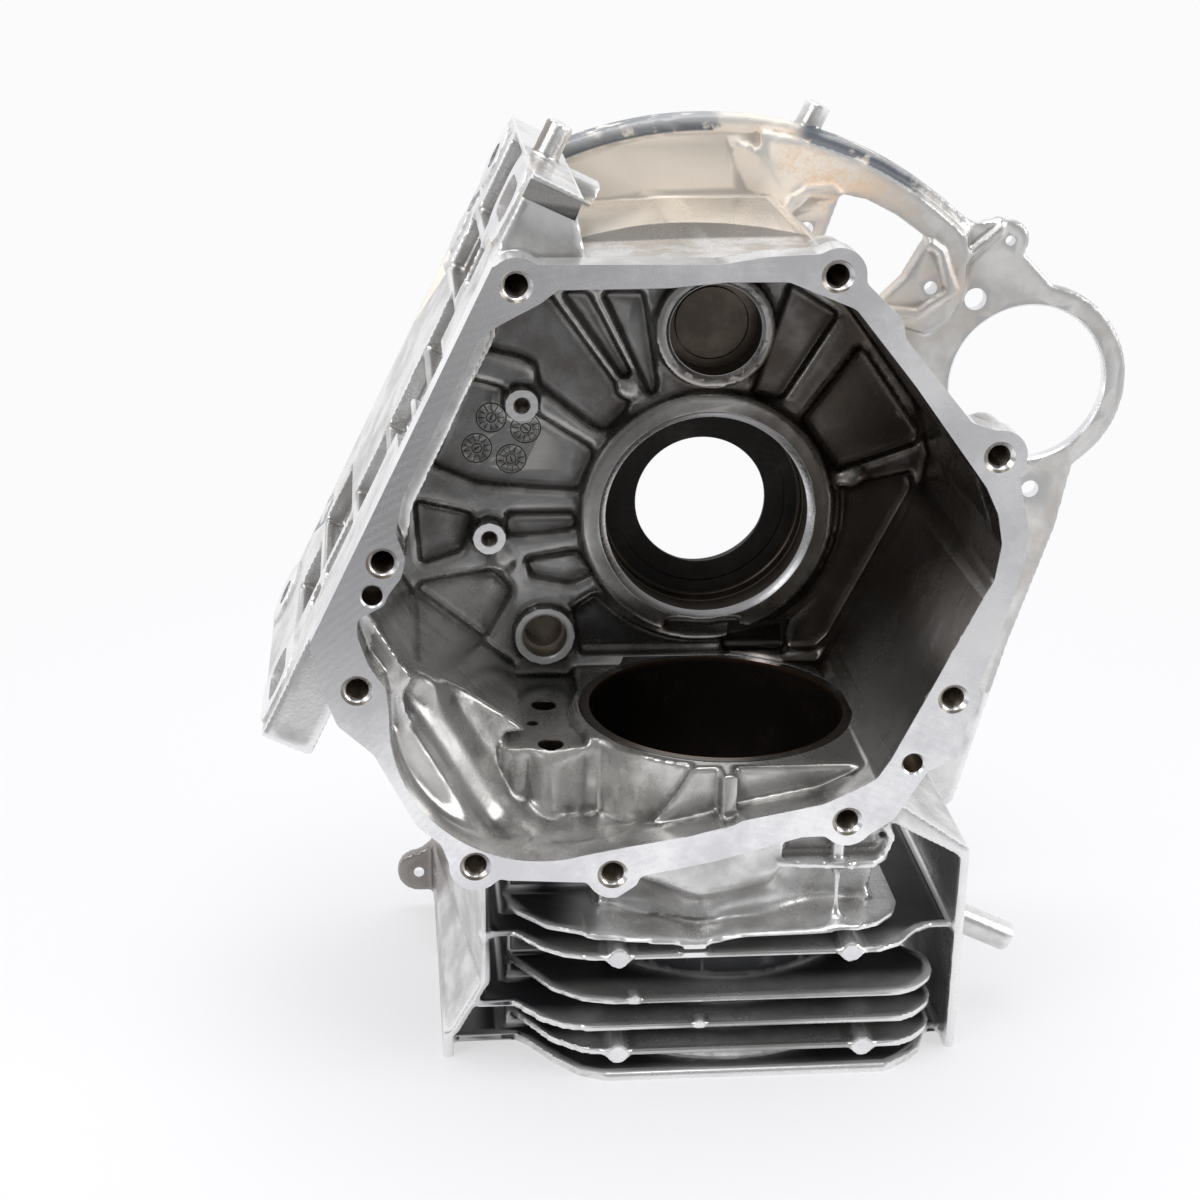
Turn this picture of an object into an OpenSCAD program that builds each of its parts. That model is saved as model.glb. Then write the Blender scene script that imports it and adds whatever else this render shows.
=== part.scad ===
// Crankcase of a single-cylinder engine, standing on its cylinder head face.
// X runs along the cover face, Y along the crank axis towards the flywheel, Z up the cylinder axis.
// The origin is where the cylinder axis meets the head face.

/* [Crank and cylinder] */
// Height of the crank axis above the head face
crank_h = 166; // [160:1:176]
// Bore of the cylinder liner
bore_d = 88; // [80:1:90]
// Wall of the cast-in liner
liner_t = 3; // [2:0.5:4]
// Aluminium wall round the liner
barrel_t = 5; // [4:0.5:8]
// Height of the barrel's inner end below the crank axis
barrel_drop = 57; // [54:1:62]
// Outer diameter of the main bearing
bearing_d = 72; // [62:1:76]
// Depth of the main bearing seat
bearing_w = 18; // [14:1:20]
// Diameter of the hole in the shoulder behind the bearing
shoulder_d = 47; // [40:1:56]
// Diameter of the oil seal seat, cut from the flywheel side
seal_d = 52; // [50:1:60]
// Depth of the oil seal seat
seal_w = 8; // [5:1:9]

/* [Cover face] */
// Distance of the cover face in front of the cylinder axis
cover_y = 64; // [62:1:70]
// Thickness of the cover flange
flange_t = 11; // [8:1:14]
// Minor diameter of the tapped cover holes
tap_d = 6.8; // [6:0.1:8]
// Depth of the tapped cover holes
tap_depth = 22; // [15:1:28]
// Diameter of the two cover dowel holes
dowel_d = 6.5; // [6:0.5:8]

/* [Rear wall] */
// Inner face of the rear wall, behind the cylinder axis
rear_y = 38; // [34:1:42]
// Thickness of the rear wall
rear_t = 10; // [8:0.5:12]
// Depth of the panels sunk between the ribs
panel_d = 3.5; // [2:0.5:5]
// Outer diameter of the crank boss
hub_d = 90; // [84:1:96]
// Height of the balancer axis above the crank axis
balancer_h = 68; // [62:1:74]
// Outer diameter of the balancer bearing
balancer_d = 32; // [28:1:35]
// Bore of the camshaft seat
cam_d = 16; // [13:0.5:18]
// Camshaft seat to the left of the crank axis
cam_x = 57; // [54:1:60]
// Camshaft seat below the crank axis
cam_drop = 44; // [41:1:47]

/* [Base] */
// Distance from the crank axis to the mounting base
base_dist = 121; // [118:1:126]
// Lean of the base from the cylinder axis, in degrees
base_tilt = 25.4; // [24:0.2:27]
// Distance between the mounting slots along the base
slot_pitch = 172; // [166:1:178]
// Distance between the slots and the rear foot holes along the crank axis
slot_pitch_y = 76; // [72:1:78]
// Width of a mounting slot
slot_w = 13; // [10:0.5:14]
// Length of a mounting slot, along the crank axis
slot_l = 24; // [18:1:26]
// Diameter of the holes in the two rear feet
foot_hole_d = 9; // [7:0.5:11]
// Thickness of the mounting base
foot_t = 18; // [14:1:20]
// Depth of the recess between the rails of the base
recess_d = 8; // [5:0.5:9]

/* [Cooling] */
// Thickness of a cooling fin
fin_t = 2.2; // [1.6:0.1:3]
// Thickness of the air duct walls
duct_t = 3; // [2.5:0.5:4]
// Thickness of the head deck round the bore
deck_t = 9; // [7:1:12]
// Height of the lowest free fin above the head face
fin_low = 10.5; // [9:0.5:12]
// Spacing of the four head bolts, across the part
head_pitch = 92; // [88:1:96]
// Spacing of the four head bolts, along the crank axis
head_pitch_y = 76; // [70:1:92]
// Minor diameter of the tapped head bolt holes
head_tap_d = 8.5; // [7:0.5:9]
// Depth of the tapped head bolt holes
head_tap_depth = 26; // [20:1:30]

/* [Flywheel side] */
// Radius of the rim round the flywheel
rim_r = 136; // [132:1:140]
// Front face of the flywheel side plate, behind the cylinder axis
plate_y = 60; // [57:1:64]
// Thickness of the flywheel side plate
plate_t = 5; // [4:0.5:7]
// Pilot hole of the starter motor
starter_d = 57; // [50:1:60]
// Rim round the starter hole
starter_rim = 8; // [6:0.5:9]

/* [Hidden] */
$fn = 48;
casting_color = [0.72, 0.72, 0.71];
iron_color = [0.2, 0.18, 0.17];

eps = 0.5;
cast_bore_r = bore_d / 2 + liner_t;
barrel_r = cast_bore_r + barrel_t;
rear_out = rear_y + rear_t;
hub_front = rear_y - 3;
hub_back = hub_front + bearing_w + seal_w + 3;
flange_back = -cover_y + flange_t;
base_wall = 4;
base_low = 1;
slot_y = -27;
slot_mid = -6;
slot_s = [slot_mid - slot_pitch / 2, slot_mid + slot_pitch / 2];
slot_ring = 6;
foot_end = 13;
foot_front = -50;
rear_foot_r = 10.5;
starter_x = 118.5;
starter_z = 41;
cam_pos = [-cam_x, -cam_drop];
balancer_pos = [0, balancer_h];

// A point of the base side in the plane of the cover face:
// s runs up along the base and inset is the distance inside it
function base_pt(s, inset = 0) = [
    s * sin(base_tilt) - (base_dist - inset) * cos(base_tilt),
    s * cos(base_tilt) + (base_dist - inset) * sin(base_tilt)
];
// Height above the head face, as a height below the crank axis
function deck(h) = h - crank_h;
function arc_pts(c, r, a0, a1, n) = [for (i = [0:n])
    c + r * [cos(a0 + (a1 - a0) * i / n), sin(a0 + (a1 - a0) * i / n)]];

// Cover bolts and dowels, from the upper left clockwise
cover_holes = [
    [-74.1, 105.2], [21.5, 108], [75.1, 51.6], [66.7, -28.9], [34.9, -71.4],
    [-41.3, -88.3], [-85.8, -84.2], [-122.6, -22.2], [-114.2, 19.7]
];
cover_dowels = [[55, -51.4], [-117.6, 9]];
cover_boss_r = 8.6;
bowl_pos = [-64, -34];
bowl_r = 49;

// Outline of the cover face
face_pts = concat(
    [base_pt(-61), base_pt(65)],
    [[-66, 111.6], [-14, 111.6], [1, 114], [22, 115], [31, 105], [42, 94.5], [43, 89], [65.5, 62.5]],
    [[80, 58], [82, 44], [86, 28], [86, 18], [80, -7], [75.5, -21], [69, -50], [60, -54], [50, -71]],
    [[38, -79], [27, -76.5], [20, -76.6], [-8, -84.5], [-31, -89], [-51, -91], [-76, -89.5], [-94, -84]],
    [[-97, -76], [-104.5, -69.5], [-118, -44], [-129, -34], [-134.5, -20], [-136.5, -9]]
);
// Outline of the opening in the cover face
mouth_pts = concat(
    [base_pt(-45, 14.5), base_pt(-35, 17), base_pt(-27, 15), base_pt(-21, 9), base_pt(-10, 6),
        base_pt(45, 6)],
    [[-79, 93.6], [-71, 97], [-67, 100], [-62, 104], [-29, 104.6], [-12, 106.3], [6.8, 106.3],
        [14.3, 102.6]],
    [[27.5, 98], [33.5, 90.4], [47, 74.4], [62, 54], [71.5, 42], [76, 33], [78, 23], [76.5, 11],
        [73.3, 4.7]],
    [[47.6, -49.7], [44, -55], [37.8, -59.5], [26.7, -65], [-0.7, -70.5], [-16, -75.2], [-38, -78.8]],
    arc_pts(bowl_pos, bowl_r, -75, -165, 8),
    [[-114, -21.5], [-119, -14.2], base_pt(-56, 12), base_pt(-51, 10)]
);
// Outline of the room behind the mouth, down to the inner end of the barrel
floor_z = -barrel_drop;
room_pts = concat(
    [base_pt(-52, 13), base_pt(-30, 17), base_pt(-15, recess_d + base_wall),
        base_pt(45, recess_d + base_wall)],
    [[-79, 93.6], [-67, 100], [-29, 104.6], [-12, 106.3], [6.8, 106.3], [27.5, 98], [47, 74.4], [71.5, 42]],
    [[78, 23], [76.5, 11], [73.3, 4.7], [47.6, -49.7], [43, floor_z], [-66, floor_z], [-104, -27]]
);
// Outline of the casting round that room
body_pts = concat(
    [base_pt(-61, recess_d), base_pt(62, recess_d)],
    [[-64, 108.5], [-12, 110.5], [20, 111], [33, 100], [52, 77], [77, 46], [84, 25], [82, 8], [79, 2]],
    [[54, -51], [46, -69], [20, -75], [-8, -83], [-31, -88.5], [-51, -90.5], [-76, -89.5], [-92, -84],
        [-104, -70]],
    [[-116, -44], [-128, -33], [-134, -12]]
);

module at_crank() translate([0, 0, crank_h]) children();
// An XZ outline extruded along Y, from y0 to y1
module slab(y0, y1) translate([0, y1, 0]) rotate([90, 0, 0]) linear_extrude(y1 - y0) children();
module rod_y(p, y0, y1, r) translate([p.x, y0, p.y]) rotate([-90, 0, 0]) cylinder(r = r, h = y1 - y0);
module cone_y(p, y0, y1, r0, r1) translate([p.x, y0, p.y]) rotate([-90, 0, 0])
    cylinder(r1 = r0, r2 = r1, h = y1 - y0);
// Base frame: x up along the base, y along the crank axis, z out of the base
module on_base() rotate([0, base_tilt - 90, 0]) translate([0, 0, base_dist]) children();

module cover_face() {
    polygon(face_pts);
    for (p = cover_holes) translate(p) circle(r = cover_boss_r);
}

module outer_body() {
    slab(-cover_y, flange_back) cover_face();
    slab(flange_back - eps, rear_out) polygon(body_pts);
    for (p = cover_holes) rod_y(p, flange_back - eps, -cover_y + tap_depth + 5, cover_boss_r - 1.5);
}

bowl_step = 50;
bowl_floor = -85.5;
channel_lean = 30;
web_back = 6;
land_y = 51;
// Round-ended channel that leans down to the right
module channel(p, y, length, r) translate([p.x, y, p.y]) rotate([0, 180 - channel_lean, 0]) {
    sphere(r = r);
    cylinder(r = r, h = length);
    translate([0, 0, length]) sphere(r = r);
}

module room() {
    slab(-cover_y - eps, rear_y) polygon(room_pts);
    slab(-cover_y - eps, flange_back + 2) difference() {
        polygon(mouth_pts);
        translate([-9, floor_z - 30]) square([100, 30]);
    }
    // Bowl beneath the camshaft: a round mouth, two slanting channels with a crest between them,
    // and a level floor that runs back to the tappets and the barrel
    rod_y(bowl_pos, -cover_y - eps, -bowl_step, bowl_r);
    channel([-99, -33], -45, 48, 10);
    channel([-80, -36], -38, 36, 17);
    slab(-bowl_step - eps, tappet_front + eps) polygon([
        [-13.5, floor_z + eps], [-18.5, -66], [-27, -78], [-37, bowl_floor + 0.5], [-62, bowl_floor],
            [-74, -68], [-66, floor_z + eps]
    ]);
    // Tappet floor, a step below the main floor
    translate([-75, tappet_front, tappet_top]) cube([28.5, rear_y - tappet_front, 3 + eps]);
    // Two cells below the land in front of the barrel
    slab(-cover_y - eps, -land_y) polygon([[-20, -76], [-9.5, floor_z + 1], [-5.5, floor_z + 1],
        [-5.5, -72.5]]);
    slab(-cover_y - eps, -land_y) polygon([[-1, floor_z + 1], [44, floor_z + 1], [38, -59.6],
        [26.7, -65], [-1, -70.5]]);
    // Front of the web between those cells, set back from the cover face
    slab(-cover_y - eps, -cover_y + web_back) polygon([[-6, floor_z + 1], [-0.5, floor_z + 1], [-0.5, -71],
        [-6, -73]]);
}

// Panels sunk into the rear wall between its ribs
panels = [
    [[-75, 69], [-66, 80], [-56, 79], [-28, 41], [-30, 36], [-36, 30], [-41, 32], [-60, 47], [-61, 54],
        [-66, 57], [-79, 60]],
    [[-53, 80], [-43, 80], [-24, 45], [-27, 43]],
    [[-39, 80], [-24, 80], [-18, 46], [-21, 42]],
    [[-97, 19], [-84, 50], [-73, 47], [-60, 37], [-41, 25], [-40, 22], [-45, 9], [-72, 11], [-81, 12]],
    [[-71, 1], [-47, 1], [-45, -3], [-48, -6], [-71, -8]],
    [[-103, 6], [-82, 1], [-86, -13], [-101, -18]],
    [[-103, -27], [-100, -24], [-75, -20], [-71, -24], [-68, -28], [-78, -47]],
    [[-64, -16], [-45, -13], [-39, -22], [-47, -26], [-62, -23]],
    [[51, 60], [54, 59], [75, 30], [75, 25], [46, 15], [32, 34]],
    [[26, 83], [44, 72], [26, 42], [23, 41], [14, 43]]
];

module rear_panels() {
    for (p = panels) slab(rear_y - eps, rear_y + panel_d) polygon(p);
    // Large panel that wraps the lower half of the crank boss
    slab(rear_y - eps, rear_y + panel_d) difference() {
        polygon([[-47, -35], [-38, -29], [0, -20], [38, -10], [46, 9], [73, 15], [74, 8], [47, -48],
            [42, -53], [-44, -53]]);
        circle(r = hub_d / 2 + 3);
    }
    // Oil pocket under the crank boss
    slab(rear_y - eps, rear_y + rear_t - 2.5) polygon([[8, floor_z + 3], [32, floor_z + 3], [31, -42],
        [8, -47]]);
}

module inner_features() {
    rod_y([0, 0], hub_front, hub_back, hub_d / 2);
    // Balancer boss with a flat underside
    slab(rear_y - 7, rear_out + 3) difference() {
        translate(balancer_pos) circle(r = balancer_d / 2 + 4.5);
        translate([-30, balancer_h - 40]) square([60, 19]);
    }
    rod_y(cam_pos, rear_y - 4, rear_out + 9, cam_d / 2 + 3);
    for (p = [[-66, 42], [-77, -6]]) rod_y(p, rear_y - 7, rear_y + 6, 6);
    for (p = [[-29, 46], [-72, -16], [51, 13]]) rod_y(p, rear_y - 1.2, rear_y + 6, 3.8);
    tappet_block();
    // Inner end of the barrel, standing in the bowl
    translate([0, 0, bowl_floor - 2]) cylinder(r = barrel_r - 2, h = floor_z - bowl_floor + 2);
}

tappet_x = -60;
tappet_pitch = 33;
tappet_y = -7;
tappet_r = 4;
tappet_top = floor_z - 3;
tappet_front = tappet_y - tappet_pitch / 2 - 3;
module tappet_block() {
    translate([-75, tappet_front, bowl_floor - 3])
        cube([35, rear_y - tappet_front, tappet_top - bowl_floor + 3]);
    // Round boss of the front tappet, a thin column and a ridge on the front of the block
    translate([tappet_x + 1, tappet_y - tappet_pitch / 2, bowl_floor - 2])
        cylinder(r = tappet_r + 3, h = tappet_top - bowl_floor + 0.5);
    for (c = [[9, 1.8], [-10, 1.4]]) translate([tappet_x + c.x, tappet_front, bowl_floor - 2])
        cylinder(r = c.y, h = tappet_top - bowl_floor + 2);
}

boss_flat_w = 28;
boss_flat_drop = 38;
module inner_bores() {
    rod_y([0, 0], hub_front - eps, hub_front + bearing_w, bearing_d / 2);
    cone_y([0, 0], hub_front - eps, hub_front + 2.2, bearing_d / 2 + 2.6, bearing_d / 2 - 0.1);
    rod_y([0, 0], hub_front + bearing_w - eps, hub_back + eps, shoulder_d / 2);
    rod_y([0, 0], hub_front + bearing_w - eps, hub_front + bearing_w + 1.2, bearing_d / 2 - 5.5);
    rod_y([0, 0], hub_back - seal_w, hub_back + eps, seal_d / 2);
    rod_y(balancer_pos, rear_y - 7 - eps, rear_y + 5, balancer_d / 2);
    cone_y(balancer_pos, rear_y - 7 - eps, rear_y - 5.4, balancer_d / 2 + 2, balancer_d / 2 - 0.1);
    rod_y(balancer_pos, rear_y + 4, rear_y + 7, balancer_d / 2 - 3);
    rod_y(cam_pos, rear_y - 4 - eps, rear_out + 4, cam_d / 2);
    for (p = [[-66, 42], [-77, -6]]) rod_y(p, rear_y - 8, rear_y + 3, 2.5);
    // Flat under the mouth of the crank boss, clear of the piston
    translate([-boss_flat_w / 2, hub_front - eps, -hub_d / 2 - eps])
        cube([boss_flat_w, 3 + eps, hub_d / 2 - boss_flat_drop]);
    // Oil notch in the rim of the camshaft seat
    translate([-cam_x + cam_d / 2 - 1, rear_y - 4 - eps, -cam_drop - 4.5]) cube([5, 4, 2.4]);
    for (i = [-1, 1]) translate([tappet_x + 1, tappet_y + i * tappet_pitch / 2, -crank_h - eps])
        cylinder(r = tappet_r, h = crank_h + tappet_top + 2 * eps);
    translate([tappet_x - 4, tappet_y + 1, tappet_top - 12]) cylinder(r = 2, h = 13);
}

module cover_threads() {
    for (p = cover_holes) {
        rod_y(p, -cover_y - eps, -cover_y + tap_depth, tap_d / 2);
        cone_y(p, -cover_y - eps, -cover_y + 1.2, tap_d / 2 + 1.4, tap_d / 2 - 0.1);
    }
    for (p = cover_dowels) rod_y(p, -cover_y - eps, -cover_y + 12, dowel_d / 2);
}

// Hollows of the base between its rails: s from and to, y from and to, and depth
hollows = [
    [-33, 40, slot_y + 2, 2, recess_d], [-2, 30, -49, slot_y + 2.5, 7], [42, 61, -12, 38, 6],
        [48, 66, slot_y + 2, -13.5, 8],
    [64, slot_s[1] + foot_end - 2, -5, 32, foot_t - base_low - 1.5], [-59, -37, -8, 42, 14],
        [-79, -62, -10, 26, 14],
    [-70, -36, slot_y + 2, -13, 10]
];
// Ribs across the hollows: s, and y from and to
base_ribs = [[-9, slot_y, 4], [20, slot_y, 4], [9, -50, slot_y + 4], [20, -50, slot_y + 4],
    [-60, slot_y, 44]];
base_rib_t = 2.2;

// Mounting base: front rail, rear plate, cross ribs, two slotted feet and two round ones
module base_body() {
    on_base() {
        difference() {
            translate([slot_s[0] - foot_end, foot_front, -foot_t])
                cube([slot_pitch + 2 * foot_end, plate_y - foot_front + eps, foot_t - base_low]);
            for (h = hollows) translate([h[0], h[2], -h[4] - base_low])
                cube([h[1] - h[0], h[3] - h[2], h[4] + 1]);
        }
        for (r = base_ribs) translate([r[0] - base_rib_t / 2, r[1], -recess_d - 2])
            cube([base_rib_t, r[2] - r[1], recess_d + 1]);
        translate([slot_s[0] + 25, flange_back - eps, -foot_t]) cube([134, 5, foot_t - base_low]);
        for (s = slot_s) {
            translate([s, slot_y, -foot_t]) linear_extrude(foot_t)
                round_rect(slot_w + 2 * slot_ring, slot_l + 2 * slot_ring, 9);
            translate([s, slot_y + slot_pitch_y, -foot_t]) cylinder(r = rear_foot_r, h = foot_t);
        }
        translate([52, slot_y + slot_pitch_y, -foot_t]) cylinder(r = 7, h = foot_t);
    }
    // Block of the upper front foot, with its sunk end band
    slab(foot_front, slot_y + slot_l / 2 + slot_ring)
        polygon([base_pt(62, base_low), base_pt(slot_s[1] + 12, base_low),
        base_pt(slot_s[1] + 12, 17.5), base_pt(slot_s[1] + 7, 18.7), base_pt(slot_s[1] - 2.5, 26),
            base_pt(62, 32)]);
}

module round_rect(w, l, r) {
    for (x = [-1, 1]) for (y = [-1, 1]) translate([x * (w / 2 - r), y * (l / 2 - r)]) circle(r = r);
    square([w - 2 * r, l], center = true);
    square([w, l - 2 * r], center = true);
}

module base_slots() on_base() for (s = slot_s) {
    translate([s, slot_y, -foot_t - 20]) linear_extrude(foot_t + 21)
        round_rect(slot_w, slot_l, slot_w / 2 - 1.5);
    translate([s, slot_y + slot_pitch_y, -foot_t - eps]) cylinder(d = foot_hole_d, h = foot_t + 2);
}

// Cooling fins as plates round the barrel, cut to their front and side outlines
fin_front = cover_y;
fin_round = 19;
wall_xl = -84;
wall_xr = 80;
free_left = [[-75, 48], [-75, -26], [-71, -37], [-60, -54], [-50, -61.5], [-40, -fin_front]];
free_right = concat([[52, -fin_front]], arc_pts([52, -fin_front + fin_round], fin_round, -90, 20, 10),
    [[61, -30], [61, 48]]);
tied_left = [[wall_xl, 48], [wall_xl, -46], [-73, -45.5], [-70, -48.5], [-64, -56], [-57, -61],
    [-47, -fin_front]];
tied_right = [[48, -fin_front], [56, -60], [63.5, -51.5], [69.4, -48], [wall_xr, -48], [wall_xr, 48]];
deck_left = [[wall_xl - 8, 48], [wall_xl - 8, -36], [-71, -36], [-67, -40], [-59, -51.5], [-51, -60],
    [-42, -fin_front]];
deck_right = [[53, -fin_front], [62, -58], [67, -53], [72, -40], [wall_xr, -39], [wall_xr, 48]];
// Height of each fin above the head face, and its two ends
fin_list = [
    [fin_low, free_left, free_right], [fin_low + 9.5, tied_left, free_right],
        [fin_low + 19.5, free_left, free_right],
    [fin_low + 36, tied_left, tied_right]
];
top_fin = deck(fin_low + 45.5);
fin_bend = 46;

module fins() {
    for (f = fin_list) translate([0, 0, deck(f[0]) - fin_t / 2]) linear_extrude(fin_t)
        polygon(concat(f[1], f[2]));
    // Top fin, whose front edge dips below the nose of the case
    translate([0, 0, top_fin - fin_t]) linear_extrude(fin_t) polygon([
        [-50, -62], [-50, -fin_bend], [40, -fin_bend], [40, -fin_front], [48, -61], [54, -55], [57, -47],
            [57, 30],
        [-76, 30], [-76, -34], [-72, -46], [-62, -57]
    ]);
    slab(-fin_front, -fin_bend + eps) translate([0, top_fin])
        polygon([[-50, 0], [-12, -4.3], [0, -1.4], [40, 0], [40, -fin_t], [0, -fin_t - 1.4],
            [-12, -fin_t - 4.3], [-50, -fin_t]]);
    // Deck at the head face: its fin, the ring round the bore and four bolt columns
    translate([0, 0, -crank_h]) linear_extrude(fin_t + 0.6) polygon(concat(deck_left, deck_right));
    translate([0, 0, -crank_h]) cylinder(r = barrel_r + 6, h = deck_t);
    for (x = [-1, 1]) for (y = [-1, 1]) translate([x * head_pitch / 2, y * head_pitch_y / 2, -crank_h])
        cylinder(r = head_tap_d / 2 + 3.5, h = head_tap_depth + 4);
    // Push rod tunnel beside the barrel
    translate([-74, tappet_y - 24, -crank_h]) cube([34, 48, crank_h + tappet_top - 10]);
    translate([0, 0, -crank_h]) cylinder(r = barrel_r, h = crank_h - barrel_drop);
    // Ejector rods on two fins, and two small pads
    for (p = [[-38.8, fin_list[3][0]], [38.8, fin_list[3][0]], [-38.4, fin_low], [44.5, fin_low]])
        rod_y([p.x, deck(p.y)], -fin_front - 0.8, -30, 3.6);
    for (p = [[-33, fin_low + 20.5], [-11, fin_low + 10.5]])
        rod_y([p.x, deck(p.y)], -fin_front - eps, -fin_front + 5, 1.7);
    // Small fin, its upturned end and the column under the lower right cover boss
    translate([0, 0, -90.5]) linear_extrude(fin_t) polygon([[8, -52], [14, -58], [38, -61], [46, -60],
        [51, -55], [53, -46], [53, 20], [8, 20]]);
    slab(-56, 20) polygon([[46, -90.5], [51, -87.5], [53, -82], [50.5, -76], [48.5, -78], [50.5, -82],
        [49, -86.5], [46, -88.3]]);
    translate([33.8, -56, top_fin - fin_t]) cylinder(r = 2.3, h = 36);
    // Case between the cover flange and the top fin, with its nose
    translate([-44, 0, 0]) rotate([90, 0, 90]) linear_extrude(92)
        polygon([[-54, -66], [-54, -80], [-44, top_fin + 3], [-44, top_fin - eps], [30, top_fin - eps],
            [30, -62], [-44, -62]]);
    slab(-57, -40) polygon([[-36, -90], [-33, -95], [-12, -103.5], [-3, -101], [14, -97.5], [16, -80],
        [-33, -84]]);
}

// Air duct walls, open to the flywheel side
duct_back = plate_y + plate_t;
module duct_walls() {
    // Left wall, leaning in towards the cover flange, and its flare down to the deck
    hull() {
        slab(-46, -45) duct_strip(-83, -83, -86, deck(28));
        slab(duct_back - 1, duct_back) duct_strip(-97, -97, -86, deck(28));
    }
    hull() {
        slab(-46, -45) duct_strip(-83, -94, deck(29), deck(9));
        slab(duct_back - 1, duct_back) duct_strip(-97, -97, deck(29), deck(9));
    }
    translate([-96, -46, -crank_h]) cube([duct_t + 0.5, duct_back + 46, 10]);
    // Right wall and the sloping wall above it
    slab(-50, duct_back) polygon([[wall_xr - duct_t, -92], [wall_xr + eps, -91],
        [wall_xr + eps, -crank_h], [wall_xr - duct_t, -crank_h]]);
    slab(-50, duct_back) polygon([[50, -69], [wall_xr + eps, -90], [wall_xr, -94], [45, -75]]);
}
module duct_strip(x0, x1, z0, z1) polygon([[x0, z0], [x0 + duct_t, z0], [x1 + duct_t, z1], [x1, z1]]);

// Plate of the flywheel side with its rim, window and starter ring
window_pts = [[45.5, 110], [55, 108], [66, 102.5], [78, 94], [76, 91], [70, 80], [62, 72], [40, 93]];
window_holes = [[34, 98], [79.5, 77]];
step_y = 4;
rim_lip = 4;
module side_plate() {
    slab(plate_y, plate_y + plate_t) difference() {
        union() {
            intersection() {
                circle(r = rim_r, $fn = 96);
                polygon([base_pt(-60, 10), base_pt(90, 10), [-60, 150], [90, 150], [140, 20], [118, -60],
                    [-60, -60]]);
            }
            polygon([[84, 104], [96, 99], [104, 101], [113, 98], [114, 88], [124, 78], [140, 20],
                [134, -14], [118, -60], [80, -60]]);
            translate([starter_x, starter_z]) circle(r = starter_d / 2 + starter_rim);
            translate([108, 93]) circle(r = 7);
            polygon([[134, -14], [120, -60], [104, deck(41)], [wall_xr, deck(16)], [77, -90], [60, -60]]);
        }
        translate([starter_x, starter_z]) circle(r = starter_d / 2);
        circle(r = hub_d / 2 + 12);
        polygon(window_pts);
        translate([97, 72]) circle(r = 4);
        translate([123, 1]) circle(r = 3.2);
        translate([108, 93]) circle(r = 1.7);
        // Air passage down to the fins
        polygon([[-80, -88], [40, -90], [74, -90], [74, -62], [52, -52], [-60, -62], [-100, -60]]);
    }
    // Raised lip of the rim
    slab(plate_y - 1, plate_y + 12) difference() {
        intersection() {
            circle(r = rim_r, $fn = 96);
            polygon([[-58, 110], [-70, 150], [90, 150], [92, 96], [60, 90], [0, 120], [-30, 118]]);
        }
        circle(r = rim_r - rim_lip, $fn = 96);
    }
    // Part of the plate that stands nearer the cover, joined by a sloping facet
    slab(plate_y - step_y, plate_y + eps) difference() {
        intersection() {
            circle(r = rim_r - rim_lip, $fn = 96);
            polygon([[17, 125], [26, 109], [25, 100], [30, 90], [44, 84], [60, 66], [80, 60], [86, 64],
                [92, 74], [92, 96], [60, 130], [17, 136]]);
        }
        polygon(window_pts);
        for (h = window_holes) translate(h) circle(r = 2.4);
    }
    hull() {
        slab(plate_y - 0.2, plate_y + eps) polygon([[6, 128], [17, 125], [26, 109], [16, 101]]);
        slab(plate_y - step_y, plate_y) polygon([[17, 125], [26, 109], [27, 109], [18, 125]]);
    }
    // Ridges round the two tabs of the window and up to the corner boss
    slab(plate_y - step_y - 1.5, plate_y - eps) {
        polygon([[22, 94], [23, 102], [28, 109], [34, 112.5], [42, 113], [46, 110], [34, 109.5],
            [28, 104], [25.5, 97]]);
        polygon([[78, 94], [83, 90.5], [88.5, 76.5], [86, 74.5], [81.5, 89.5], [77, 92.5]]);
        polygon([[60, 70], [75, 69], [87, 77], [88, 75.5], [75.5, 67], [60, 67.5]]);
    }
    slab(plate_y - 3, plate_y) polygon([[88, 85], [104, 99], [105, 97], [89, 83]]);
    // Lens-shaped swelling over the case
    translate([-20, plate_y + 1, 66]) rotate([90, 0, 0]) intersection() {
        cylinder(r1 = 40, r2 = 36, h = 5);
        translate([-26, 29, -1]) cube([52, 20, 8]);
    }
    // Walls that carry the plate from the crankcase
    slab(rear_out - eps, plate_y + eps) difference() {
        polygon([[-60, 104], [-12, 108], [20, 108], [50, 78], [80, 40], [84, 20], [80, 2], [50, -52],
            [-60, -56],
            base_pt(-40, 14), base_pt(50, 14)]);
        circle(r = 60);
        translate([-44, -40]) circle(r = 30);
        translate([30, 60]) circle(r = 18);
    }
}

module posts() {
    on_base() {
        translate([slot_s[1] + foot_end - 2, -2, -8.5]) rotate([0, 90, 0]) cylinder(r = 4.4, h = 14);
        translate([slot_s[1] + foot_end - 6, 14, -31]) cylinder(r = 4.6, h = 25);
    }
    // Post on the rim and posts on the duct wall, along or square to the base
    translate([(rim_r - 6) * sin(rim_post_a), plate_y + 4, (rim_r - 6) * cos(rim_post_a)])
        rotate([0, base_tilt, 0]) cylinder(r = 4.6, h = 15);
    translate([wall_xr - 2, -20, deck(38.5)]) rotate([0, 90 + base_tilt, 0]) cylinder(r = 5.2, h = 30);
    translate([wall_xr - 2, 12, deck(48)]) rotate([0, 90 + base_tilt, 0]) cylinder(r = 4, h = 10);
    // Lug at the foot of the left duct wall
    translate([lug_pos.x, plate_y, lug_pos.y]) rotate([-90, 0, 0]) cylinder(r = lug_r, h = plate_t);
    slab(plate_y, plate_y + plate_t) polygon([lug_pos + [0, lug_r], lug_pos + [8, 14],
        lug_pos + [8, -lug_r], lug_pos - [0, lug_r]]);
}
rim_post_a = 13.9;
lug_pos = [-102, deck(16)];
lug_r = 8;

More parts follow.
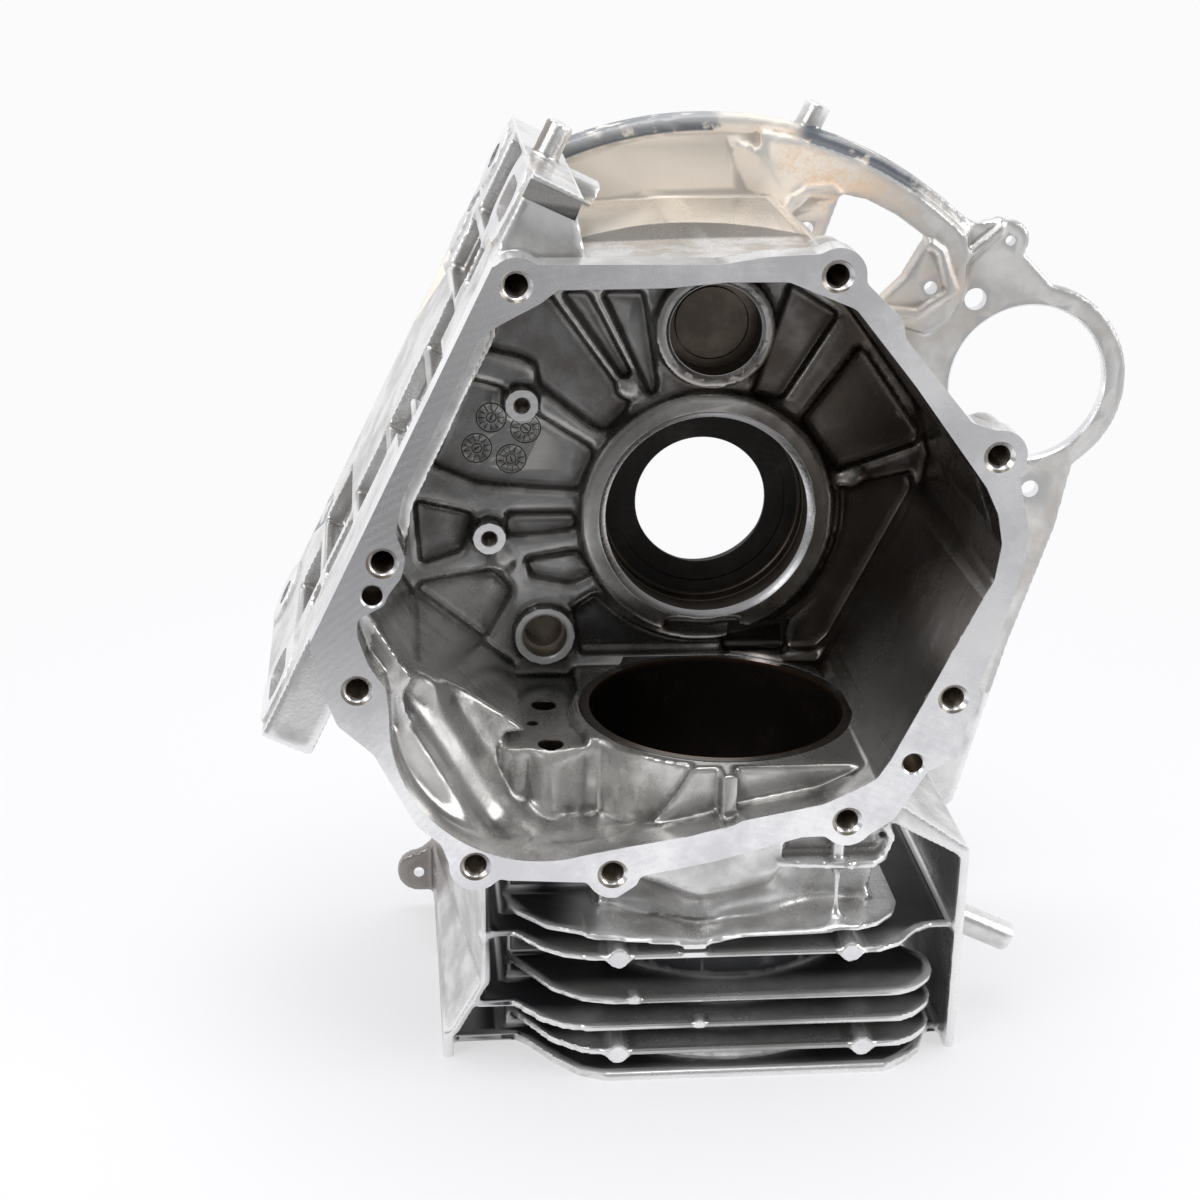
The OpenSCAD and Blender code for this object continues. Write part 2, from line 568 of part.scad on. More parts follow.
module head_bores() {
    translate([0, 0, -crank_h - eps]) cylinder(r = cast_bore_r,
        h = crank_h - barrel_drop + 2 * eps, $fn = 96);
    for (x = [-1, 1]) for (y = [-1, 1]) translate([x * head_pitch / 2, y * head_pitch_y / 2,
        -crank_h - eps])
        cylinder(r = head_tap_d / 2, h = head_tap_depth);
    rod_y(lug_pos, plate_y - eps, plate_y + plate_t + eps, 2);
    for (h = window_holes) rod_y(h, plate_y - 8, plate_y + plate_t + eps, 2.4);
}

module crankcase_casting() color(casting_color) at_crank() difference() {
    union() {
        difference() {
            union() {
                outer_body();
                base_body();
                side_plate();
                duct_walls();
                fins();
                posts();
            }
            room();
            rear_panels();
        }
        inner_features();
    }
    cover_threads();
    inner_bores();
    base_slots();
    head_bores();
}

module cylinder_liner() color(iron_color) difference() {
    cylinder(r = cast_bore_r, h = crank_h - barrel_drop, $fn = 96);
    translate([0, 0, -eps]) cylinder(d = bore_d, h = crank_h, $fn = 96);
}

crankcase_casting();
cylinder_liner();
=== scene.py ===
import bmesh
import bpy
import numpy as np
from mathutils import Matrix, Vector


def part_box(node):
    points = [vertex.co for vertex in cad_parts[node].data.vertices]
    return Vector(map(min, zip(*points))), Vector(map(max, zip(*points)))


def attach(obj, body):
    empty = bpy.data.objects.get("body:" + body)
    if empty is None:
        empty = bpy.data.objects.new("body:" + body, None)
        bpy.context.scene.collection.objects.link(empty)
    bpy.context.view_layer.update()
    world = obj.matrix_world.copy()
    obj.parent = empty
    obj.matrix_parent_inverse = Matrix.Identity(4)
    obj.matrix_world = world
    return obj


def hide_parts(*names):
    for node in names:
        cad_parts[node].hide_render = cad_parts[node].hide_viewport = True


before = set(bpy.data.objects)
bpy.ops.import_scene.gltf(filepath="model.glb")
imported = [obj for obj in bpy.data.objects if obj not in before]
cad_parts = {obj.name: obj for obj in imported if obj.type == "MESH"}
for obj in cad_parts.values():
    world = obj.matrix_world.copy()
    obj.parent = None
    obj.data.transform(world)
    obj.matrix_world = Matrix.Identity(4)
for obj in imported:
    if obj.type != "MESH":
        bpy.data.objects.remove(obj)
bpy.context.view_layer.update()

# Crankcase, standing on its head face. X along the cover face, Y along the crank axis, Z up the cylinder
# axis. All sizes are in metres and repeat those of the part's source.
sizes = {
    "crankHeight": 0.166,
    "coverFace": -0.064,
    "baseDistance": 0.121,
    "baseTilt": 25.4,
    "floorDrop": 0.057,
    "bearingRadius": 0.036,
    "bossFace": 0.035,
    "slotPitch": 0.172,
    "slotMiddle": -0.006,
    "slotY": -0.027,
    "rearFootY": 0.049,
    "headPitchX": 0.092,
    "headPitchY": 0.076,
}
coverHoles = [
    (-0.0741, 0.1052), (0.0215, 0.108), (0.0751, 0.0516), (0.0667, -0.0289), (0.0349, -0.0714),
    (-0.0413, -0.0883), (-0.0858, -0.0842), (-0.1226, -0.0222), (-0.1142, 0.0197),
]
coverDowels = [(0.055, -0.0514), (-0.1176, 0.009)]
tilt = np.radians(sizes["baseTilt"])
baseOut = Vector((-np.cos(tilt), 0, np.sin(tilt)))
baseAlong = np.array((np.sin(tilt), 0, np.cos(tilt)))
slotPlaces = [sizes["slotMiddle"] + side * sizes["slotPitch"] / 2 for side in (-1, 1)]
crank = Vector((0, 0, sizes["crankHeight"]))


# Shader helpers
class Wire:
    # wraps a socket, so that shader maths is written as Python; flip puts the other value first
    def __init__(self, tree, socket):
        self.tree, self.socket = tree, socket

    def math(self, operation, other=0.0, flip=False):
        node = self.tree.nodes.new("ShaderNodeMath")
        node.operation = operation
        for slot, value in zip(node.inputs, (other, self) if flip else (self, other)):
            putIn(self.tree, slot, value)
        return Wire(self.tree, node.outputs[0])

    def __add__(self, other): return self.math("ADD", other)
    def __radd__(self, other): return self.math("ADD", other, True)
    def __sub__(self, other): return self.math("SUBTRACT", other)
    def __rsub__(self, other): return self.math("SUBTRACT", other, True)
    def __mul__(self, other): return self.math("MULTIPLY", other)
    def __rmul__(self, other): return self.math("MULTIPLY", other, True)


def putIn(tree, slot, value):
    if isinstance(value, Wire):
        tree.links.new(value.socket, slot)
    else:
        slot.default_value = value


class Nodes:
    # a node tree, and one method that adds any node to it
    def __init__(self, tree):
        self.tree = tree
        tree.nodes.clear()

    def add(self, kind, settings=None, sockets=None, out=0):
        node = self.tree.nodes.new(kind)
        for key, value in (settings or {}).items():
            setattr(node, key, value)
        for key, value in (sockets or {}).items():
            putIn(self.tree, node.inputs[key], value)
        return Wire(self.tree, node.outputs[out]) if len(node.outputs) else node

    def noise(self, scale, detail=4.0, rough=0.55):
        return self.add("ShaderNodeTexNoise", None, {
            "Vector": self.place, "Scale": scale, "Detail": detail, "Roughness": rough})

    def step(self, value, low, high):
        return self.add("ShaderNodeMapRange", {"interpolation_type": "SMOOTHSTEP"}, {
            "Value": value, "From Min": low, "From Max": high})

    def either(self, first, second):
        return first.math("MAXIMUM", second)

    # the length of a vector with two parts: the square root of the sum of their squares
    def reach(self, first, second):
        return (first * first + second * second).math("POWER", 0.5)

    def blend(self, factor, first, second):
        return self.add("ShaderNodeMix", {"data_type": "RGBA"}, {0: factor, 6: first, 7: second}, 2)

    def bump(self, height, distance, strength):
        return self.add("ShaderNodeBump", None, {
            "Height": height, "Distance": distance, "Strength": strength})

    def axes(self, vector):
        split = self.add("ShaderNodeSeparateXYZ", None, {"Vector": vector})
        return [Wire(self.tree, socket) for socket in split.socket.node.outputs]


class Finish(Nodes):
    # a material that reads Object coordinates
    def __init__(self, name):
        self.material = bpy.data.materials.new(name)
        self.material.use_nodes = True
        super().__init__(self.material.node_tree)
        self.place = self.add("ShaderNodeTexCoord", out="Object")

    def finish(self, sockets):
        shader = self.add("ShaderNodeBsdfPrincipled", None, sockets)
        self.add("ShaderNodeOutputMaterial", None, {"Surface": shader})
        return self.material


def grey(r, g, b): return (r, g, b, 1.0)


# Materials
# Die-cast skin: cloudy flow marks, a fine grain, small pores and stains of oil or heat. The shading zone is a second
# tone that the skin passes into softly, for its share at each place: painted shade between the fins outside, painted
# light on the room's low front inside and on the plate's upper left. stainShare is the strength of the stains and how
# much the zone adds to it. Each skin also paints a highlight on ridges (edge) and shade in creases (hollowShade).
castOutside = {
    "base": grey(0.80, 0.795, 0.79),
    "dull": grey(0.52, 0.515, 0.505),
    "stain": grey(0.46, 0.40, 0.33),
    "stainFrom": 0.60,
    "edge": grey(0.93, 0.93, 0.93),
    "hollowShade": grey(0.28, 0.27, 0.26),
    "roughness": 0.25,
    "metal": 0.80,
    "grain": 0.35,
    "stainShare": (0.7, -0.7),
    # a near-black tone for the painted shade between the fins
    "shadingZone": {"base": grey(0.040, 0.041, 0.046), "patch": 0.0, "metal": 0.6, "roughness": 0.40},
}
# The room's skin: a darker copy of the outside skin, painted shade over the whole room
shadedCastInside = {
    "base": grey(0.33, 0.325, 0.32),
    "dull": grey(0.20, 0.195, 0.19),
    "stain": grey(0.15, 0.11, 0.085),
    "stainFrom": 0.56,
    "edge": grey(0.62, 0.60, 0.57),
    "hollowShade": grey(0.045, 0.038, 0.032),
    "roughness": 0.22,
    "metal": 0.9,
    "grain": 0.12,
    "stainShare": (0.7, 0.0),
    # a near-white tone for the painted light on the room's low front
    "shadingZone": {"base": grey(0.86, 0.85, 0.83), "patch": 0.45, "metal": 0.65, "roughness": 0.22},
}
castPlate = {
    "base": grey(0.84, 0.83, 0.81),
    "dull": grey(0.60, 0.585, 0.56),
    "stain": grey(0.86, 0.52, 0.26),
    "stainFrom": 0.53,
    # the plate's ridges are painted mid-grey: a painted dark outline, which is shade
    "edge": grey(0.50, 0.50, 0.50),
    "hollowShade": grey(0.22, 0.20, 0.18),
    "roughness": 0.30,
    "metal": 0.72,
    "grain": 0.35,
    "stainShare": (0.18, 0.5),
    # a pale warm tone, less metallic, for the painted light on the plate's upper left
    "shadingZone": {"base": grey(0.99, 0.905, 0.80), "patch": 0.0, "metal": 0.15, "roughness": 0.38},
}


# Painted shade between the fins: on their faces behind the front edges, on the barrel, on the duct's inner walls and
# in the left corner. Each pair gives the places between which its share goes from none to full.
finShade = {
    "flat": (0.45, 0.75),
    "barrel": (0.0580, 0.0545),
    "ductWall": (0.066, 0.068),
    "ductFront": (-0.0615, -0.0570),
    "inwards": (0.0, -0.03),
    "facingFront": (-0.90, -0.97),
    "behindFront": (-0.0515, -0.0500),
    "besideFins": (0.049, 0.051),
    "finFront": (-0.0600, -0.0480),
    "deck": (0.0075, 0.0055),
    "deckShift": 0.0090,
    "topFin": (0.0495, 0.0510),
    "topFinShift": 0.0140,
    "cornerRight": (-0.034, -0.062),
    "cornerLeft": (-0.0935, -0.0905),
    "cornerFront": (-0.0600, -0.0570),
    "cornerTop": (0.074, 0.070),
    "cornerFoot": (0.050, 0.052),
    "width": (0.0765, 0.0755),
    "leftDuct": (-0.0700, -0.0750),
    "notOutwards": (0.010, 0.0),
    "height": (0.0545, 0.0532),
    "rear": (0.064, 0.050),
}


def finShadeZone(f, x, y, z):
    across, along, up = f.axes(f.add("ShaderNodeTexCoord", out="Normal"))
    side, left = x.math("ABSOLUTE"), f.step(x, *finShade["cornerLeft"])
    flat = f.step(up.math("ABSOLUTE"), *finShade["flat"])
    duct = f.step(side, *finShade["ductWall"]) * f.step(x * across, *finShade["inwards"]) * f.step(y, *finShade["ductFront"])
    facing = f.step(along, *finShade["facingFront"]) * f.step(y, *finShade["behindFront"]) * f.step(side, *finShade["besideFins"])
    wall = f.either(f.either(f.step(f.reach(x, y), *finShade["barrel"]), duct), facing)
    front = y + finShade["deckShift"] * f.step(z, *finShade["deck"]) - finShade["topFinShift"] * f.step(z, *finShade["topFin"])
    share = flat * f.step(front, *finShade["finFront"]) + (1 - flat) * wall
    corner = (f.step(x, *finShade["cornerRight"]) * left * f.step(y, *finShade["cornerFront"])
              * f.step(z, *finShade["cornerTop"]))
    share = f.either(share, corner * f.step(z, *finShade["cornerFoot"]))
    leftDuct = f.step(x, *finShade["leftDuct"]) * f.step(x * across, *finShade["notOutwards"]) * left
    within = f.either(f.step(side, *finShade["width"]), leftDuct)
    return share * f.either(f.step(z, *finShade["height"]), corner) * within * f.step(y, *finShade["rear"])


# Painted light on the low front part of the room, most at its left, and on the lower left corner
roomLight = {
    "height": (0.150, 0.112),
    "depth": (0.036, -0.012),
    "left": (-0.030, -0.060),
    "least": 0.62,
    "cornerX": (-0.055, -0.095),
    "cornerHeight": (0.165, 0.130),
    "cornerShare": 0.8,
}


def roomLightZone(f, x, y, z):
    most = roomLight["least"] + (1 - roomLight["least"]) * f.step(x, *roomLight["left"])
    low = f.step(z, *roomLight["height"]) * f.step(y, *roomLight["depth"]) * most
    corner = f.step(x, *roomLight["cornerX"]) * f.step(z, *roomLight["cornerHeight"])
    return f.either(low, corner * roomLight["cornerShare"])


# Painted light on the warm upper left of the flywheel plate
warm = {"across": (0.085, 0.030), "up": (0.20, 0.24)}


def plateLightZone(f, x, y, z):
    return f.step(x, *warm["across"]) * f.step(z, *warm["up"])


# Marks on the outside. On the case's top, a dark lens, painted shade where an unmodelled recess lies, with the
# plate's pale, painted-light tone behind it, where the line is y + curve (x - middle)^2, and brown streaks in front.
# On the base, painted shade in the hollows near its two ends. A lug painted dark: painted shade.
outsideMark = {
    "topFoot": (crank.z + 0.1055, crank.z + 0.1070),
    "topEnd": (crank.z + 0.1125, crank.z + 0.1115),
    "topRear": (0.0560, 0.0500),
    "topFront": (-0.0225, -0.0185),
    "topLeft": (-0.062, -0.056),
    "topRight": (0.036, 0.026),
    "lensCurve": 17.0,
    "lensMiddle": -0.018,
    "lensRear": (0.0045, 0.0065),
    "pale": grey(0.97, 0.90, 0.80),
    "lens": grey(0.20, 0.19, 0.18),
    "streakFront": (-0.048, -0.040),
    "streakRear": (-0.0185, -0.0225),
    "streakFlow": (0.42, 0.60),
    "streak": grey(0.50, 0.40, 0.31),
    "hollowFace": (0.1195, 0.1180),
    "hollowFloor": (0.090, 0.095),
    "hollowFacing": (0.6, 0.8),
    "upperEnd": (0.022, 0.034),
    "lowerEnd": (-0.040, -0.052),
    "hollowShade": grey(0.22, 0.19, 0.165),
    "lugX": (-0.088, -0.094),
    "lugZ": (0.045, 0.035),
    "lugY": (0.020, 0.030),
    "lugShade": grey(0.24, 0.215, 0.20),
}


# Each function of marks gives its layers as (factor, colour): under the zone, over the stains, and on top
def outsideMarks(f, x, y, z, cloud, flow):
    m = outsideMark
    fromMiddle = x - m["lensMiddle"]
    arc = y + m["lensCurve"] * fromMiddle * fromMiddle
    foot = f.step(z, *m["topFoot"])
    top = (foot * f.step(z, *m["topEnd"]) * f.step(y, *m["topRear"]) * f.step(y, *m["topFront"])
           * f.step(x, *m["topLeft"]) * f.step(x, *m["topRight"]))
    behind = f.step(arc + 0.006 * (cloud - 0.5), *m["lensRear"])
    streak = foot * f.step(y, *m["streakFront"]) * f.step(y, *m["streakRear"]) * f.step(flow, *m["streakFlow"])
    up = z - crank.z
    inwards = up * baseOut.z + x * baseOut.x
    along = x * baseOut.z - up * baseOut.x
    facing = f.add("ShaderNodeVectorMath", {"operation": "DOT_PRODUCT"}, {
        0: f.add("ShaderNodeTexCoord", out="Normal"), 1: baseOut[:]}, "Value")
    ends = f.either(f.step(along, *m["upperEnd"]), f.step(along, *m["lowerEnd"]))
    # painted shade in the base's hollows
    hollowShade = (f.step(inwards, *m["hollowFace"]) * f.step(inwards, *m["hollowFloor"])
              * f.step(facing, *m["hollowFacing"]) * ends)
    # the lug painted dark: painted shade where it sits in shadow
    lugShade = f.step(x, *m["lugX"]) * f.step(z, *m["lugZ"]) * f.step(y, *m["lugY"])
    return {
        # the lens is painted shade and the pale tone is the plate's painted light
        "under": [(top * behind, m["pale"]), (top * (1 - behind), m["lens"]), (streak * 0.55, m["streak"])],
        "top": [(hollowShade * 0.8, m["hollowShade"]), (lugShade * 0.85, m["lugShade"])],
    }


# Painted shade that darkens the room from left to right
oilFilm = {"across": (-0.050, 0.050), "wander": 0.25, "oil": grey(0.095, 0.080, 0.068)}


def insideMarks(f, x, y, z, cloud, flow):
    return {"under": [(f.step(x + oilFilm["wander"] * (cloud - 0.5), *oilFilm["across"]), oilFilm["oil"])]}


# Painted shade in a band round the plate's rim, with one bright stretch at the top where it is left off
rimShade = {
    "radius": (0.1306, 0.1316),
    "right": (0.080, 0.070),
    "brightFrom": (0.000, 0.006),
    "brightTo": (0.034, 0.026),
    "flow": (0.36, 0.46),
    "band": grey(0.15, 0.17, 0.20),
}


def plateMarks(f, x, y, z, cloud, flow):
    r = rimShade
    bright = f.step(x, *r["brightFrom"]) * f.step(x, *r["brightTo"])
    band = f.step(f.reach(x, z - crank.z), *r["radius"]) * f.step(x, *r["right"]) * (1 - bright)
    return {"over": [(band * f.step(flow, *r["flow"]), r["band"])]}


def castAluminium(name, style, shadingZone, marks):
    f = Finish(name)
    x, y, z = f.axes(f.place)
    cloud = f.noise(26.0, 5.0, 0.6)
    flow = f.noise(85.0, 4.0, 0.6)
    grain = f.noise(900.0, 3.0, 0.6)
    cells = f.add("ShaderNodeTexVoronoi", None, {"Vector": f.place, "Scale": 330.0})
    pit = f.step(cells, 0.08, 0.04)
    patch = f.step(cloud * 0.6 + flow * 0.4, 0.40, 0.62)
    stain = f.step(cloud * 0.75 + grain * 0.25, style["stainFrom"], style["stainFrom"] + 0.16)
    layers = marks(f, x, y, z, cloud, flow)

    def laid(colour, level):
        for factor, tone in layers.get(level, []):
            colour = f.blend(factor, colour, tone)
        return colour

    second, share = style["shadingZone"], shadingZone(f, x, y, z)
    colour = laid(f.blend(patch, style["base"], style["dull"]), "under")
    colour = f.blend(share, colour, f.blend(patch * second["patch"], second["base"], style["dull"]))
    least, added = style["stainShare"]
    colour = laid(f.blend(stain * (least + added * share), colour, style["stain"]), "over")
    # Painted highlight on ridges and painted shade in creases, read from the ridge attribute
    ridge = f.add("ShaderNodeAttribute", {"attribute_name": "ridge"}, None, "Fac")
    colour = f.blend(f.step(ridge, 0.56, 0.95) * 0.75, colour, style["edge"])
    colour = laid(f.blend(f.step(ridge, 0.44, 0.10) * 0.55, colour, style["hollowShade"]), "top")
    colour = f.blend(pit * 0.2, colour, grey(0.17, 0.16, 0.15))
    metal = style["metal"] + share * (second["metal"] - style["metal"])
    rough = style["roughness"] + share * (second["roughness"] - style["roughness"])
    rough = rough + 0.09 * patch + 0.08 * (grain - 0.5) + 0.08 * stain
    normal = f.bump(grain * style["grain"] + flow * 0.9 - pit * 0.15, 0.00022, 0.6)
    return f.finish({"Base Color": colour, "Metallic": metal, "Roughness": rough, "Normal": normal})


# Milled or turned face: faint arcs of the cutter, clouds of stain and fine scratches.
milledFace = {
    "bright": grey(0.94, 0.94, 0.945),
    "shade": grey(0.74, 0.74, 0.76),
    "roughness": 0.22,
    "metal": 0.96,
}
ringFace = {
    "bright": grey(0.92, 0.92, 0.92),
    "shade": grey(0.74, 0.73, 0.72),
    "roughness": 0.30,
    "metal": 0.35,
}
# Darker, brown machined tone for threads and narrow bores: painted shade
shadedBoreFace = {
    "bright": grey(0.46, 0.42, 0.37),
    "shade": grey(0.20, 0.165, 0.13),
    "roughness": 0.26,
    "metal": 0.96,
}
# Near-black machined seats of the bearings and tappet bores: painted shade
shadedSeatFace = {
    "bright": grey(0.20, 0.165, 0.135),
    "shade": grey(0.10, 0.085, 0.07),
    "roughness": 0.30,
    "metal": 0.96,
}
# Black machined face for the bearing's shoulder, the stamp grooves and the oil pocket: painted shade
deepShadeFace = {
    "bright": grey(0.085, 0.08, 0.075),
    "shade": grey(0.045, 0.042, 0.04),
    "roughness": 0.48,
    "metal": 0.96,
}


def machinedAluminium(name, style):
    f = Finish(name)
    wide = f.noise(24.0, 4.0)
    fine = f.noise(1300.0, 3.0)
    scratch = f.noise(260.0, 6.0, 0.75)
    marks = f.add("ShaderNodeTexWave", {"wave_type": "RINGS", "rings_direction": "Y"}, {
        "Vector": f.place, "Scale": 120.0, "Distortion": 2.2, "Detail": 3.0, "Detail Scale": 1.2})
    cloud = f.step(wide * 0.8 + scratch * 0.2, 0.38, 0.62)
    colour = f.blend(cloud, style["bright"], style["shade"])
    rough = style["roughness"] + 0.04 * (marks - 0.5) + 0.12 * cloud + 0.06 * (scratch - 0.5)
    normal = f.bump(marks * 0.12 + fine * 0.35 + scratch * 0.35, 0.00005, 0.5)
    return f.finish({"Base Color": colour, "Metallic": style["metal"], "Roughness": rough, "Normal": normal})


# Honed liner: fine crossed scratches and an oil film, a warm line at the bore's inner edge, a grey end face
liner = {
    "warmFrom": (0.1070, 0.1089),
    "endRadius": (0.0441, 0.0449),
    "endHeight": (0.1084, 0.1088),
    "iron": grey(0.075, 0.066, 0.060),
    "warm": grey(0.36, 0.20, 0.11),
    "end": grey(0.20, 0.185, 0.17),
    "roughness": 0.26,
}


def honedIron(name, style):
    f = Finish(name)
    x, y, height = f.axes(f.place)
    rim = f.step(height, *style["warmFrom"])
    outer = f.step(f.reach(x, y), *style["endRadius"]) * f.step(height, *style["endHeight"])
    film = f.noise(60.0, 4.0)
    hone = f.add("ShaderNodeTexWave", {"bands_direction": "DIAGONAL"}, {
        "Vector": f.place, "Scale": 700.0, "Distortion": 4.0})
    colour = f.blend(rim * 0.8 + 0.10 * f.step(film, 0.45, 0.7), style["iron"], style["warm"])
    colour = f.blend(outer, colour, style["end"])
    normal = f.bump(hone * 0.4 + film * 0.6, 0.00004, 0.4)
    rough = style["roughness"] + 0.12 * (film - 0.5)
    return f.finish({"Base Color": colour, "Metallic": 0.85, "Roughness": rough, "Normal": normal})


outsideSkin = castAluminium("castOutside", castOutside, finShadeZone, outsideMarks)
shadedInsideSkin = castAluminium("shadedCastInside", shadedCastInside, roomLightZone, insideMarks)
plateSkin = castAluminium("castPlate", castPlate, plateLightZone, plateMarks)
cutFace = machinedAluminium("milledFace", milledFace)
ringSkin = machinedAluminium("ringFace", ringFace)
shadedBoreSkin = machinedAluminium("shadedBoreFace", shadedBoreFace)
shadedSeatSkin = machinedAluminium("shadedSeatFace", shadedSeatFace)
deepShadeSkin = machinedAluminium("deepShadeFace", deepShadeFace)
ironFace = honedIron("honedIron", liner)
print("materials made")


# Shapes
def newObject(name, points, faces, material=None):
    mesh = bpy.data.meshes.new(name)
    mesh.from_pydata(np.asarray(points).tolist(), [], [tuple(face) for face in faces])
    mesh.update()
    thing = bpy.data.objects.new(name, mesh)
    bpy.context.scene.collection.objects.link(thing)
    if material:
        mesh.materials.append(material)
    return thing


# A turned solid: each point is at + t along the axis + r (cos a side + sin a up), for the profile's (t, r).
# Where a pitch is given, r grows with the distance of t/pitch - a/turn from a whole number, for a thread.
def turned(profile, at, axis, around=48, pitch=0.0, depth=0.0):
    axis = np.array(Vector(axis).normalized())
    side = np.cross(axis, (0, 0, 1.0) if abs(axis[2]) < 0.9 else (1.0, 0, 0))
    side /= np.linalg.norm(side)
    up = np.cross(axis, side)
    t, r = np.array(profile, float).T
    angle = np.linspace(0, 2 * np.pi, around, endpoint=False)
    radius = np.repeat(r[:, None], around, 1)
    if pitch:
        phase = (t[:, None] / pitch - angle / (2 * np.pi)) % 1.0
        inside = (t > t.min() + 1.2 * pitch) & (t < t.max() - 1.2 * pitch)
        radius = radius + inside[:, None] * depth * (1 - 2 * np.abs(phase - 0.5))
    points = (np.array(at) + t[:, None, None] * axis
              + radius[..., None] * (np.cos(angle)[:, None] * side + np.sin(angle)[:, None] * up))
    rows = len(t)
    index = np.arange(rows * around).reshape(rows, around)
    beside = np.roll(index, -1, 1)
    quads = np.stack([index[:-1], beside[:-1], beside[1:], index[1:]], -1).reshape(-1, 4)
    ends = [np.array(at) + t[0] * axis, np.array(at) + t[-1] * axis]
    first, last = rows * around, rows * around + 1
    caps = [(first, b, a) for a, b in zip(index[0], beside[0])]
    caps += [(last, a, b) for a, b in zip(index[-1], beside[-1])]
    return np.vstack([points.reshape(-1, 3), ends]), quads.tolist() + caps


def joined(name, shells, material=None):
    points, faces, start = [], [], 0
    for shellPoints, shellFaces in shells:
        points.append(shellPoints)
        faces += [tuple(start + k for k in face) for face in shellFaces]
        start += len(shellPoints)
    thing = newObject(name, np.vstack(points), faces, material)
    shape = bmesh.new()
    shape.from_mesh(thing.data)
    bmesh.ops.recalc_face_normals(shape, faces=shape.faces)
    shape.to_mesh(thing.data)
    shape.free()
    return thing


# A box: its corners are the centre plus or minus each of three half-length vectors
def block(centre, halfX, halfY, halfZ):
    signs = np.array([(x, y, z) for x in (-1, 1) for y in (-1, 1) for z in (-1, 1)], float)
    points = np.array(centre) + signs @ np.array([halfX, halfY, halfZ])
    faces = [(0, 1, 3, 2), (4, 6, 7, 5), (0, 4, 5, 1), (2, 3, 7, 6), (0, 2, 6, 4), (1, 5, 7, 3)]
    return points, faces


# A closed bar between two rings with the same number of points
def between(first, second):
    count = len(first)
    index = np.arange(2 * count).reshape(2, count)
    beside = np.roll(index, -1, 1)
    sides = np.stack([index[0], beside[0], beside[1], index[1]], -1).tolist()
    return np.vstack([first, second]), sides + [index[0][::-1].tolist(), index[1].tolist()]


def applied(thing):
    bpy.context.view_layer.update()
    graph = bpy.context.evaluated_depsgraph_get()
    mesh = bpy.data.meshes.new_from_object(
        thing.evaluated_get(graph), preserve_all_data_layers=True, depsgraph=graph)
    thing.modifiers.clear()
    old, thing.data = thing.data, mesh
    bpy.data.meshes.remove(old)


def withModifier(thing, kind, **settings):
    change = thing.modifiers.new(kind, kind)
    for key, value in settings.items():
        setattr(change, key, value)
    applied(thing)


def cutBy(thing, name, shells, face):
    cutter = joined(name, shells, face)
    withModifier(thing, "BOOLEAN", operation="DIFFERENCE", solver="MANIFOLD", object=cutter,
                 material_mode="TRANSFER")
    bpy.data.objects.remove(cutter)


# Smoothing that keeps the volume: each point goes a share of the way to the mean of its neighbours,
# and then nearly the same share back, so that only the fine steps are lost
def smoothed(points, edges, rounds, weight=1.0, forward=0.5, back=-0.53):
    count = np.bincount(edges.ravel(), minlength=len(points))[:, None]
    for step in range(rounds * 2):
        share = forward if step % 2 == 0 else back
        total = np.stack([
            np.bincount(edges[:, 0], points[edges[:, 1], k], len(points))
            + np.bincount(edges[:, 1], points[edges[:, 0], k], len(points)) for k in range(3)
        ], -1)
        points = points + weight * share * (total / count - points)
    return points


# The casting
casting = {
    "merge": 1e-6,
    "near": 2e-5,
    "voxel": 0.00105,
    "stock": 0.0016,
    "coverFoot": 0.064,
    "smoothing": 5,
    "wallSmoothing": 14,
    "wallFront": sizes["coverFace"] + 0.006,
    "wallRear": 0.047,
    "panelSmoothing": 2,
    "panelFront": 0.033,
    "bowlSmoothing": 30,
    "bowlFront": (-0.0605, 0.008),
    "bowlRear": (-0.0265, -0.004),
    "bowlTop": (-0.024, -0.012),
    "bowlRight": (-0.030, -0.012),
    "apronSmoothing": 40,
    "apronSide": (0.040, -0.006),
    "apronFoot": (-0.1125, 0.003),
    "apronTop": (-0.0925, -0.004),
    "apronRear": -0.040,
    "triangles": 135000,
    "sharpFrom": 38,
}
coverTaps = {"minor": 0.0034, "major": 0.0039, "pitch": 0.00125, "depth": 0.022, "chamfer": 0.0014}
baseTaps = {"minor": 0.0024, "major": 0.0028, "pitch": 0.001, "depth": 0.009, "face": 0.0059}


def atCrank(x, y, z): return (x, y, crank.z + z)


# The point at s along the base and out from its plane
def basePoint(s, y, out):
    return crank + Vector(baseAlong) * s + Vector((0, y, 0)) + baseOut * (sizes["baseDistance"] + out)


# Five rows a turn, and then the drill's point
def threadProfile(taps, start):
    rows = np.arange(start, taps["depth"] - taps["pitch"], taps["pitch"] / 5)
    return [(t, taps["minor"]) for t in rows] + [
        (taps["depth"] - 0.0002, taps["minor"]), (taps["depth"] + 0.002, 0.0006)]


def turnedCut(face, around, profile, thread=None):
    pitch, depth = (thread["pitch"], thread["major"] - thread["minor"]) if thread else (0.0, 0.0)
    return {"face": face, "around": around, "profile": profile, "pitch": pitch, "depth": depth}


